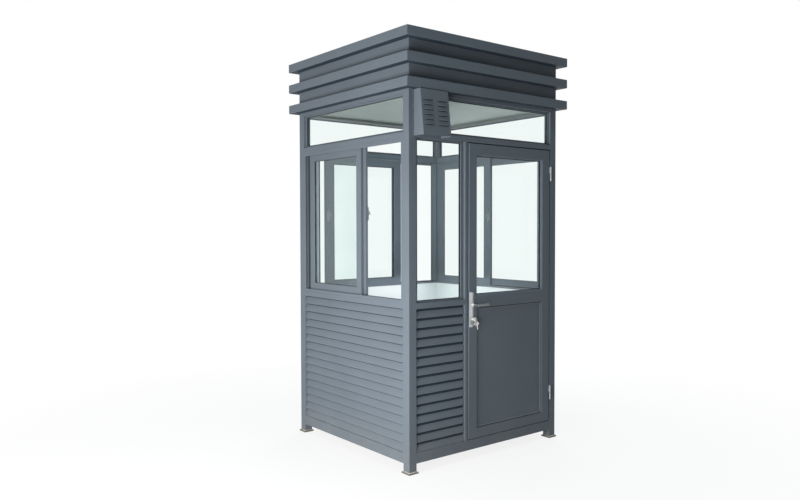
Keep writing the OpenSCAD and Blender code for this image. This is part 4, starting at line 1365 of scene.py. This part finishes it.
def mitred_bar(name, length, z, out, radius):
    bar = block(name, (0, -out, z[0]), (length, 0, z[1]))
    with editing(bar):
        for x, reach in ((0, -out), (length, out)):
            choose(bar, "VERT", lambda p: close(p.x, x) and close(p.y, -out))
            bpy.ops.transform.translate(value=(reach, 0, 0))
    return round_edges(bar, radius, 3)

def mitred_band(name, z, out, radius):
    """Four mitred bars, one on each wall."""
    return [moved(mitred_bar(name, WALL_LENGTH[side], z, out, radius), WALLS[side]) for side in WALLS]

for part in ("lower_band", "middle_band", "upper_band"):
    low, high = on_wall("front", part)
    bars = mitred_band("bar", (low.z, high.z), -low.y, band_round)
    fit(joined(part + "_bars", bars), paint, "root", "frame_metal", part)
    # Painted shade: a dark strip under each band.
    underside_shades = mitred_band("seal", (low.z - shade_drop, low.z + shade_rise), -low.y - shade_set_back, 0.4 * mm)
    fit(joined(part + "_underside_shade", underside_shades), dark_shade_finish, "root", None)
print("band", round((high.z - low.z) / mm), "mm high, standing out", round(-low.y / mm), "mm")

# %% [markdown]
# ### Fascia and roof deck
# The fascia behind the bands is plain sheet. The flat deck carries three low seams, each a block whose
# top is narrowed, and a line of sealant round its edge, and it stays below the upper band's rim. The
# sealant is a ring drawn upright and laid flat by a turn and a mirror, so its faces are turned back out.

# %% Fascia and deck
fit_rounded("canopy_fascia", "fascia_sheets", 1.0 * mm, paint, "root", "frame_metal")
deck_low, deck_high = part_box("roof_deck")
deck = rounded_copy("roof_deck", "roof_deck_sheet", 1.0 * mm)
seams = []
for i in range(1, 4):
    x = deck_low.x + (deck_high.x - deck_low.x) * i / 4
    seam = block("seam", (x - 12 * mm, deck_low.y + 20 * mm, deck_high.z - 1 * mm),
                 (x + 12 * mm, deck_high.y - 20 * mm, deck_high.z + 7 * mm))
    with editing(seam):
        choose(seam, "FACE", lambda p, n: n.z > 0.9)
        bpy.ops.transform.resize(value=(0.45, 1, 1))
    seams.append(round_edges(seam, 1.4 * mm))
sealant = ring("sealant", (deck_low.x, deck_high.x), (0, 6 * mm), (deck_low.y, deck_high.y), 7 * mm,
               2.2 * mm)
laid_flat = Matrix.Rotation(radians(90), 4, "X") @ Matrix.Scale(-1, 4, (0, 0, 1))
sealant = moved(sealant, shift(z=deck_high.z) @ laid_flat)
with editing(sealant):
    face_outward()
fit(joined("roof_deck_sheets", [deck] + seams), paint, "root", "frame_metal", "roof_deck")
fit(sealant, rubber, "root", None)
print("deck", round(deck_high.z, 3), "seams", len(seams))

# %% [markdown]
# ## Vent hood
# The hood is a wedge of folded sheet that is open underneath. Flat flanges with rivets hold it to the
# wall on both sides. The wedge is a plain part that is only rounded, and the rivets are turned.

# %% Hood sheet and flanges
hood_low, hood_high = on_wall("front", "vent_hood")
hood_h = hood_high.z - hood_low.z
hood_top_out, hood_bottom_out = 63 * mm, -hood_low.y
flange_t, lap, flange_w = 1.8 * mm, 1 * mm, 12 * mm
fit_rounded("vent_hood", "vent_hood_sheet", 0.7 * mm, paint, "root", "frame_metal")
flanges, rivets = [], []
for x0, x1 in ((hood_low.x - flange_w, hood_low.x + lap), (hood_high.x - lap, hood_high.x + flange_w)):
    flange = block("flange", (x0, -flange_t, hood_low.z), (x1, 0, hood_high.z))
    with editing(flange):
        choose(flange, "EDGE", lambda p, d: abs(d.y) > 0.9)
        bpy.ops.mesh.bevel(offset=2.4 * mm, segments=3)
    flanges.append(round_edges(flange, 0.5 * mm, 1))
    for i in range(4):
        z = hood_low.z + 24 * mm + i * (hood_h - 48 * mm) / 3
        x = x0 + 6 * mm if x0 < hood_low.x else x1 - 6 * mm
        rivets.append(turned("rivet", in_mm((2.6, 0), (2.5, 0.6), (1.8, 1.2), (0.7, 1.45)), 20,
                             shift(x, -flange_t, z) @ OUTWARD))
fit_on("front", "vent_hood_flanges", flanges, paint, "root", "frame_metal")
fit_on("front", "vent_hood_rivets", rivets, zinc_screw, "root", "bare_steel")
print("hood", round((hood_high.x - hood_low.x) / mm), "by", round(hood_h / mm), "mm, rivets", len(rivets))

# %% [markdown]
# ### Slots in the hood
# The sloping face has two columns of pressed louvres: each slot is sheltered by a small quarter-ellipsoid
# blister that is open along its lower edge. One blister starts as a sphere, is stretched, loses its lower
# and rear parts to two bisects, gets a wall's thickness and is copied to all the slots. A dark screen
# stands just behind the sloping face and keeps insects out; its dark is also painted shade, the shade
# inside the hood that shows through the slots.

# %% Screen
lean = Matrix.Rotation(-atan2(hood_bottom_out - hood_top_out, hood_h), 4, "X")
on_slope = shift(0, -hood_bottom_out, hood_low.z) @ lean    # y = 0 is the hood's sloping face
screen = block("screen", (hood_low.x + 3 * mm, 1.8 * mm, 12 * mm),
               (hood_high.x - 3 * mm, 2.6 * mm, hood_h - 12 * mm))
screen = moved(round_edges(screen, 0.3 * mm, 1), on_slope)
# The screen's dark is partly painted shade inside the hood.
fit_on("front", "vent_hood_screen", [screen], dark_pile_and_shade, "root", None)
print("screen leans", round(lean.to_euler().x * 180 / pi, 1), "degrees")

# %% Pressed blisters
slot_rows, slot_pitch, slot_h, slot_len, slot_show = 6, 30 * mm, 8 * mm, 78 * mm, 3.2 * mm
blister_out = 7 * mm
bpy.ops.object.select_all(action="DESELECT")
bpy.ops.mesh.primitive_uv_sphere_add(segments=32, ring_count=16, radius=1)
blister = bpy.context.object
blister.name = "blister"
with editing(blister):
    bpy.ops.transform.resize(value=(slot_len / 2 + 1.5 * mm, blister_out, slot_h + 2 * mm))
    bpy.ops.mesh.bisect(plane_co=(0, 0, 0), plane_no=(0, 0, 1), clear_inner=True)
    bpy.ops.mesh.select_all(action="SELECT")
    bpy.ops.mesh.bisect(plane_co=(0, 0.2 * mm, 0), plane_no=(0, 1, 0), clear_outer=True)
with_modifier(blister, "SOLIDIFY", thickness=0.9 * mm, offset=-1)
first_slot = (hood_h - (slot_rows - 1) * slot_pitch - slot_h) / 2
places = []
for column in (0.25, 0.75):
    x = hood_low.x + (hood_high.x - hood_low.x) * column
    for row in range(slot_rows):
        places.append(shift(x) @ on_slope @ shift(z=first_slot + row * slot_pitch + slot_show))
fit_on("front", "vent_hood_blisters", spread(blister, "blister_copy", places), paint, "root",
       "frame_metal")
print("blisters", len(places))

# %% [markdown]
# ## Studio
# The booth stands on a wide pale floor under soft light. A large lamp on the left lights the side wall,
# a wide cool one overhead lights the roof, the ledges and the floor, a weak one behind keeps the far
# walls' frames from going black, and a small one inside gives the room below the sills its glow. The
# world adds a trace from everywhere. Camera, mirror and glass rays see a plain white world, so the
# background is white without adding light. The floor keeps the booth's shadow close by and fades to
# that same white further out, and it throws back less light than it seems to, so the undersides of the
# bands and rails stay dark.

# %% Floor
def sees_white(tree):
    """1 for camera, mirror and glass rays, and 0 for the rays that carry light about."""
    seen = add(tree, "LightPath").outputs
    return maths(tree, "MAXIMUM", seen["Is Camera Ray"],
                 maths(tree, "MAXIMUM", seen["Is Glossy Ray"], seen["Is Transmission Ray"]))

def studio_floor(shade_near, bounced, lift, fade_from, fade_to):
    bpy.ops.object.select_all(action="DESELECT")
    bpy.ops.mesh.primitive_circle_add(vertices=96, radius=40, fill_type="NGON")
    floor = bpy.context.object
    floor.name = "studio_floor"
    material, tree, shader = new_material("studio_floor", shade_near, 0.85, Specular_IOR_Level=0.1)
    place = add(tree, "TexCoord").outputs["Object"]
    speck = ranged(tree, noise(tree, 1.7, 3, place=place), 0.3, 0.7, 0.985, 1.0)
    tone = add(tree, "CombineColor", {0: speck, 1: speck, 2: speck}).outputs[0]
    near_tone = blended(tree, 1.0, shade_near, tone, "MULTIPLY")
    far = add(tree, "VectorMath", {0: place}, operation="LENGTH").outputs["Value"]
    white = add(tree, "Emission", {"Color": (1, 1, 1, 1), "Strength": 1.0})
    fade = ranged(tree, far, fade_from, fade_to, lift, 1.0)
    plain = sees_white(tree)
    drive(tree, shader, Base_Color=blended(tree, plain, bounced, near_tone))
    mixed = add(tree, "MixShader", {0: maths(tree, "MULTIPLY", fade, plain), 1: shader.outputs[0],
                                    2: white.outputs[0]})
    tree.links.new(mixed.outputs[0], tree.nodes["Material Output"].inputs["Surface"])
    floor.data.materials.append(material)
    return floor

studio_floor(shade_near=[0.93, 0.93, 0.925, 1], bounced=[0.30, 0.30, 0.30, 1], lift=0.84,
             fade_from=1.2, fade_to=3.6)
print("floor ready")

# %% World
world = bpy.data.worlds.new("studio_world")
scene.world = world
world.use_nodes = True
tree = world.node_tree
background = tree.nodes["Background"]
background.inputs["Color"].default_value = (0.93, 0.96, 1.0, 1)
background.inputs["Strength"].default_value = 0.03
white = add(tree, "Background", {"Color": (1, 1, 1, 1), "Strength": 1.0})
mixed = add(tree, "MixShader", {0: sees_white(tree), 1: background.outputs[0], 2: white.outputs[0]})
tree.links.new(mixed.outputs[0], tree.nodes["World Output"].inputs["Surface"])

print("world ready")

# %% Lamps
def soft_lamp(name, place, target, size, power, colour=(1, 1, 1), mirrored=True):
    """An area lamp that lights the booth but never shows as a bright panel itself."""
    aim = (Vector(target) - Vector(place)).to_track_quat("-Z", "Y").to_euler()
    bpy.ops.object.light_add(type="AREA", location=place, rotation=aim)
    lamp = bpy.context.object
    lamp.name = name
    lamp.data.shape = "RECTANGLE"
    lamp.data.size, lamp.data.size_y = size
    lamp.data.energy = power
    lamp.data.color = colour
    lamp.visible_camera = False
    lamp.visible_transmission = False
    lamp.visible_glossy = mirrored

soft_lamp("key_left", (-3.2, -1.2, 0.95), (-0.67, -0.2, 0.85), (3.2, 1.6), 148, colour=(1.0, 0.98, 0.95))
soft_lamp("overhead", (0.5, 0, 7.5), (0.5, 0, 0), (7, 7), 335, colour=(0.78, 0.97, 1.0))
soft_lamp("back_fill", (3.6, 3.0, 1.7), (0.4, 0.3, 0.9), (3, 2), 120)
soft_lamp("room_glow", (0.1, 0.1, 1.15), (0.1, 0.1, 0), (0.8, 0.8), 5.5, mirrored=False)
scene.view_settings.view_transform = "Standard"
